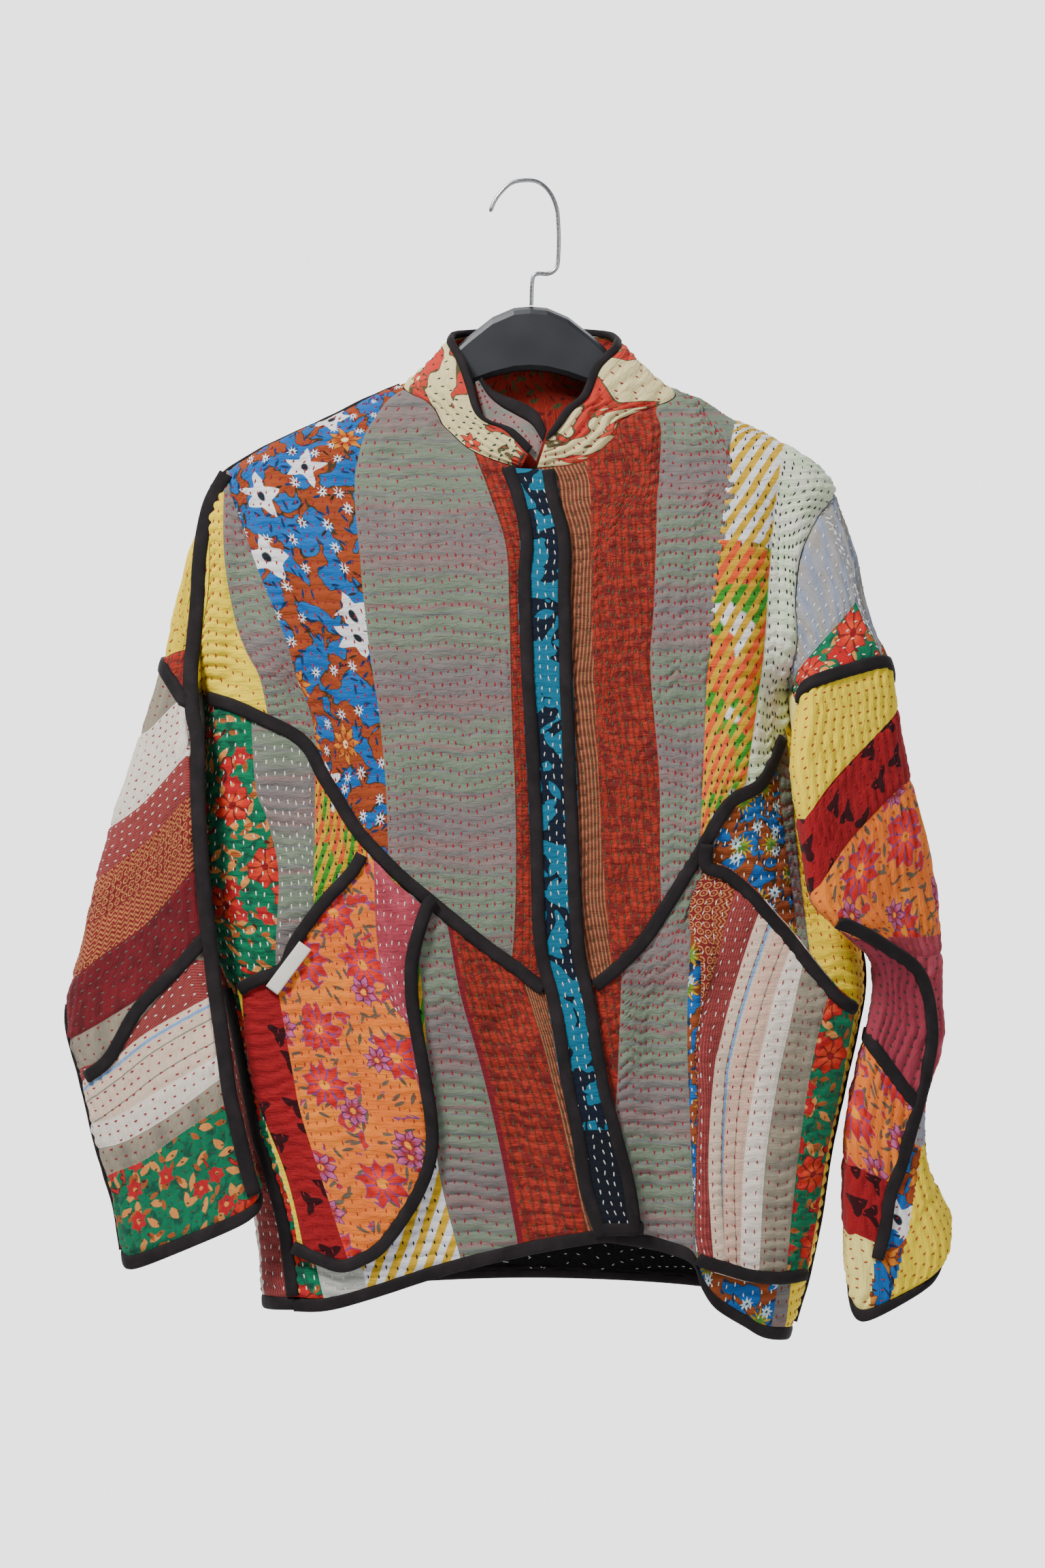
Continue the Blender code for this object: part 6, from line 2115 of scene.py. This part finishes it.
    def seam_tapes(self) -> None:
        """The bindings over the yoke, side, armhole and sleeve seams."""
        lines = (
            ("yoke_binding_right", "yoke_front_right_cloth", list(YOKE_RIGHT[1:])),
            ("yoke_binding_left", "yoke_front_left_cloth", list(reversed(YOKE_LEFT[1:]))),
            ("side_binding_right", "lower_front_right_cloth", list(SIDE_RIGHT[:-1]) + [SIDE_END_RIGHT]),
        )
        for k, (name, panel, line) in enumerate(lines):
            Tape(name + "_bias", body, 1, front_line(line), self.seam_top + (0.5 if k == 0 else 0.0),
                 sewn_to=panel, node=name, seed=30 + k).build()
        line = np.array([(0.5, z) for z in np.linspace(-500, -752, 90)])
        Tape("side_binding_left_bias", body, 1, line, self.seam_top, sewn_to="lower_front_left_cloth",
             node="side_binding_left", seed=34).build()
        for side, arm in (("right", RIGHT_ARM), ("left", LEFT_ARM)):
            line = np.stack([np.linspace(-0.5, 0.44, 60), np.full(60, ARM_SEAM)], axis=-1)
            Tape(f"armhole_binding_{side}_bias", arm, arm.side, line, self.seam_top + 0.4,
                 sewn_to=f"sleeve_{side}_cloth", node=f"armhole_binding_{side}", seed=36).build()
        self.overarm()
        self.gussets()
        line = np.array([(-0.5, z) for z in np.linspace(-136, -203, 40)])
        Tape("shoulder_binding_right_bias", body, 1, line, self.seam_top - 0.6,
             sewn_to="yoke_front_right_cloth", seed=39).build()
        line = np.stack([np.full(50, -0.49), np.linspace(9.9, RIGHT_ARM.cuff - 0.95, 50)], axis=-1)
        Tape("outer_sleeve_binding_right_bias", RIGHT_ARM, -1, line, self.seam_top - 0.8,
             sewn_to="sleeve_right_cloth", seed=41).build()
        line = LEFT_ARM.find(smooth(seen(UNDERARM_BINDING), 36), (0.0, 12.0))
        Tape("underarm_binding_left_bias", LEFT_ARM, 1, line, self.seam_top - 0.4,
             sewn_to="sleeve_left_cloth", seed=43).build()
        line = RIGHT_ARM.find(smooth(list(SLEEVE_SEAM_RIGHT) + [SEAM_END_RIGHT], 42), (0.0, 10.0))
        Tape("sleeve_binding_right_bias", RIGHT_ARM, -1, line, self.seam_top, sewn_to="sleeve_right_cloth",
             node="sleeve_binding_right", seed=40).build()
        line = LEFT_ARM.find(smooth(SLEEVE_SEAM_LEFT, 110), (0.0, 12.0))
        Tape("sleeve_binding_left_bias", LEFT_ARM, 1, line, self.seam_top + 0.2, sewn_to="sleeve_left_cloth",
             node="sleeve_binding_left", seed=42).build()

    def gussets(self) -> None:
        """The small bridges of cloth under the arms, where sleeve and side meet."""
        share = np.linspace(0, 1, 40)
        for side, arm, foot, low in (("right", RIGHT_ARM, -384, 6.3), ("left", LEFT_ARM, -376, 5.8)):
            flank = body(np.full(40, arm.side * 0.495), -333 + (foot + 333) * share)
            sleeve = arm(np.full(40, 0.495), 4.7 + (low - 4.7) * share)
            if arm.side < 0:
                flank, sleeve = sleeve, flank
            v, u = np.meshgrid(np.linspace(0, 1, 8), share, indexing="ij")
            Panel(f"underarm_{side}_cloth", Bridge(flank, sleeve), 1,
                  (Strip(Print.STRAW if side == "left" else Print.BACK_GREY, Thread.RUST),), face=0.0,
                  quilting=Quilting(seed=77, puff_mm=0.4), flat=(0.05, 0.035),
                  stitches=False).sew([np.stack([u, v], axis=-1)])

    def overarm(self) -> None:
        """The binding that runs from the shoulder down in front of the right arm's inner fold."""
        seam = smooth(seen(OVERARM_BINDING), 150)
        depths = []
        for aside in (0.0, 0.6 * TAPE_WIDTH, TAPE_WIDTH):
            places = RIGHT_ARM.find(seam - (aside, 0), (0.3, 3.0))
            depths.append(RIGHT_ARM(places[:, 0], places[:, 1])[:, 1])
        depth = np.min(depths, axis=0)
        depth = np.convolve(np.pad(depth, 6, mode="edge"), np.ones(13) / 13, mode="valid")
        ribbon = Ribbon(np.stack([seam[:, 0], depth, seam[:, 1]], axis=-1))
        line = np.stack([np.arange(len(seam), dtype=float), np.zeros(len(seam))], axis=-1)
        Tape("overarm_binding_right_bias", ribbon, 1, line, self.seam_top + 0.6, width=TAPE_WIDTH + 0.8,
             sewn_to="sleeve_right_cloth", node="overarm_binding_right", seed=38).build()

    def hem_bindings(self) -> None:
        """The rolled bindings along the hems."""
        e = self.edges
        for name, panel, cloth, rim in (
                ("hem_binding_front_right", "lower_front_right_cloth", e.cloth_right, e.rim_right),
                ("hem_binding_front_left", "lower_front_left_cloth", e.cloth_left, e.rim_left),
                ("hem_binding_back", "back_panel_cloth", e.back_cloth, e.back_rim)):
            count = 150 if name.endswith("back") else 90
            Binding(name + "_tape", body, 1, even_places(cloth, count), even_places(rim, count), panel, name,
                    seed=len(name)).build()


@dataclass
class Hanger:
    """The moulded hanger, kept from the frame with a smoother edge, and its bent wire hook."""

    nodes: dict[str, bpy.types.Object]
    wire_mm: float = 2.8

    def build(self) -> None:
        """Dress the hanger and bend the hook."""
        plate = self.nodes["hanger_plate"]
        plate.data.materials.clear()
        plate.data.materials.append(FINISHES.get(MouldedPlastic()))
        rounding = plate.modifiers.new("rounding", "BEVEL")
        rounding.width = 1.2 * MM
        rounding.segments = 3
        even_shade = plate.modifiers.new("even_shade", "WEIGHTED_NORMAL")
        even_shade.keep_sharp = False
        plate.data.shade_smooth()
        line = smooth(HOOK, 90)
        curve = bpy.data.curves.new("hook_wire", "CURVE")
        curve.dimensions = "3D"
        curve.bevel_depth = self.wire_mm / 2 * MM
        curve.bevel_resolution = 6
        curve.use_fill_caps = True
        spline = curve.splines.new("POLY")
        spline.points.add(len(line) - 1)
        for point, (x, z) in zip(spline.points, line):
            point.co = (x * MM, 0, z * MM, 1)
        spline.points[-1].radius = 0.6
        curve.materials.append(FINISHES.get(BrushedSteelWire()))
        hook = bpy.data.objects.new("hook_wire", curve)
        bpy.context.scene.collection.objects.link(hook)
        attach(hook, "root")
        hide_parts("hanger_hook")


@dataclass
class Studio:
    """The camera at the photograph's own place, soft light and a plain pale floor."""

    distance_mm: float = 2200.0
    view_mm: float = PHOTO_HEIGHT * MM_PER_PIXEL
    sensor_mm: float = 36.0
    floor_mm: float = -1600.0
    floor_reach: float = 2.4

    def build(self) -> None:
        """Make the camera, the lights and the floor."""
        scene = bpy.context.scene
        centre = seen([PHOTO_CENTRE])[0]
        data = bpy.data.cameras.new("camera")
        data.sensor_width = self.sensor_mm
        data.lens = self.sensor_mm * self.distance_mm / self.view_mm
        camera = bpy.data.objects.new("camera", data)
        scene.collection.objects.link(camera)
        camera.location = Vector((centre[0], -self.distance_mm, centre[1])) * MM
        camera.rotation_euler = (math.radians(90), 0, 0)
        scene.camera = camera
        self.surroundings(scene)
        self.lamp("key", (-1.2, -1.45, 1.5), 0.6, 130.0)
        self.lamp("fill", (1.7, -1.9, 0.0), 1.6, 20.0)
        mesh = bpy.data.meshes.new("floor")
        reach = self.floor_reach
        places = [(-reach, -reach, 0), (reach, -reach, 0), (reach, reach, 0), (-reach, reach, 0)]
        mesh.from_pydata(places, [], [(0, 1, 2, 3)])
        floor = bpy.data.objects.new("floor", mesh)
        floor.location = (0, 0, self.floor_mm * MM)
        scene.collection.objects.link(floor)
        mesh.materials.append(PaleGround().build())

    @staticmethod
    def surroundings(scene: bpy.types.Scene) -> None:
        """A white studio: its far wall is brightly lit, and the side towards the camera is dimmer."""
        world = bpy.data.worlds.new("studio")
        world.use_nodes = True
        tree = world.node_tree
        back = tree.nodes["Background"]
        place = add_node(tree, "TexCoord", {})
        parts = add_node(tree, "SeparateXYZ", {0: place.outputs["Generated"]})
        far = add_node(tree, "MapRange", {0: parts.outputs[1], 1: -0.1, 2: 0.75},
                       interpolation_type="SMOOTHSTEP")
        colour = add_node(tree, "Mix", {0: far, 6: "#aeb0b4", 7: "#f4f4f6"}, data_type="RGBA")
        strength = add_node(tree, "MapRange", {0: far, 1: 0.0, 2: 1.0, 3: 0.5, 4: 2.9})
        feed(tree, back, {"Color": colour, "Strength": strength})
        scene.world = world

    @staticmethod
    def lamp(name: str, place: tuple[float, float, float], size: float, power: float) -> None:
        """Add a soft square light that points at the jacket.

        Args:
            name: The light's name.
            place: Where it stands, in metres.
            size: Its side, in metres.
            power: Its power in watts.
        """
        data = bpy.data.lights.new(name, "AREA")
        data.size = size
        data.energy = power
        light = bpy.data.objects.new(name, data)
        light.location = place
        aim = Vector((0, 0, -0.4)) - Vector(place)
        light.rotation_euler = aim.to_track_quat("-Z", "Y").to_euler()
        bpy.context.scene.collection.objects.link(light)


# Bindings on the sleeves that the photograph shows beside the seams
OVERARM_BINDING = ((336, 700), (314, 742), (303, 790), (299, 830), (296, 883), (290, 950), (287, 997),
                   (292, 1050), (300, 1090), (303, 1180), (310, 1290), (320, 1390), (335, 1500), (350, 1600),
                   (372, 1700), (384, 1740))
UNDERARM_BINDING = ((1262, 1508), (1302, 1567), (1342, 1620))

# Borders across the caps, from the outer fold to the inner one
RIGHT_CAP = (
    (((300, 775), (306, 772), (316, 770), (330, 768)), Print.YELLOW, Thread.RUST),
    (((250, 968), (262, 962), (275, 958), (288, 955)), Print.ORANGE_RED, Thread.OLIVE),
)
LEFT_CAP = (
    (((1292, 984), (1282, 930), (1267, 875), (1240, 905), (1205, 945), (1169, 988)), Print.GREEN_ROSE,
     Thread.WHITE),
)

# The slanting borders across the sleeves, from the outer fold to the inner one
RIGHT_SLEEVE = (
    (((205, 1083), (225, 1075), (262, 1040), (275, 1031)), Print.WHITE, Thread.RED),
    (((172, 1215), (215, 1185), (250, 1150), (284, 1112)), Print.BRICK, Thread.WHITE),
    (((148, 1292), (190, 1262), (240, 1222), (287, 1170)), Print.RINGS, Thread.RED),
    (((116, 1436), (160, 1400), (230, 1350), (292, 1277)), Print.DARK_RED, Thread.GREY),
    (((112, 1524), (170, 1490), (230, 1450), (285, 1392)), Print.TAUPE, Thread.RED),
    (((104, 1575), (170, 1545), (200, 1512), (292, 1404)), Print.BRICK, Thread.WHITE),
    (((112, 1598), (178, 1548), (230, 1508), (318, 1457)), Print.CREAM, Thread.RED),
    (((120, 1654), (180, 1633), (250, 1590), (333, 1540)), Print.WHITE, Thread.RED),
    (((140, 1684), (190, 1671), (260, 1630), (340, 1570)), Print.TAUPE, Thread.RED),
    (((160, 1722), (220, 1697), (270, 1660), (352, 1604)), Print.GREEN_ROSE, Thread.OLIVE),
)
LEFT_SLEEVE = (
    (((1318, 1040), (1290, 1070), (1210, 1150), (1172, 1202)), Print.RED_CLOVER, Thread.RED),
    (((1333, 1143), (1300, 1170), (1230, 1240), (1181, 1312)), Print.ORANGE_FLORAL, Thread.RUST),
    (((1377, 1398), (1350, 1400), (1300, 1390), (1190, 1350)), Print.PINK_DARK, Thread.GREEN),
    (((1374, 1560), (1340, 1600), (1310, 1580), (1272, 1520)), Print.ORANGE_FLORAL, Thread.RUST),
    (((1370, 1660), (1320, 1730), (1290, 1725), (1240, 1700)), Print.RED_CLOVER, Thread.RED),
    (((1360, 1760), (1310, 1830), (1285, 1820), (1240, 1798)), Print.STRAW, Thread.RUST),
)

# The left sleeve's outer side, beyond the curved binding
LEFT_SLEEVE_EDGE = (
    (((1290, 1372), (1325, 1410), (1359, 1464), (1371, 1517), (1355, 1586), (1348, 1632), (1420, 1632),
      (1420, 1372)), Print.PINK),
    (((1348, 1632), (1335, 1672), (1420, 1720), (1420, 1632)), Print.LILAC),
    (((1335, 1672), (1310, 1750), (1281, 1835), (1271, 1910), (1300, 1910), (1330, 1800), (1350, 1690)),
     Print.BLUE_FLORAL),
    (((1350, 1680), (1330, 1800), (1300, 1910), (1440, 1910), (1440, 1710)), Print.YELLOW),
)


def main() -> None:
    """Build the jacket's looks around its solids."""
    logging.basicConfig(level=logging.INFO, format="%(name)s %(message)s")
    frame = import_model()
    Studio().build()
    edges = Edges()
    JacketBody(edges).build()
    Sleeve("right", RIGHT_ARM, (Print.SAGE, Thread.RED), RIGHT_CAP, (Print.TAUPE, Thread.RED), RIGHT_SLEEVE,
           (0.14, 0.085), (0.24, 0.38), 101).build()
    Sleeve("left", LEFT_ARM, (Print.LILAC, Thread.WHITE), LEFT_CAP, (Print.YELLOW, Thread.RUST), LEFT_SLEEVE,
           (0.16, 0.11), (0.22, 0.40), 131, LEFT_SLEEVE_EDGE).build()
    Collar(edges).build()
    CollarEnd().build()
    Trim(edges).build()
    Hanger(frame["nodes"]).build()
    SEWN.declare()


if __name__ == "__main__":
    main()
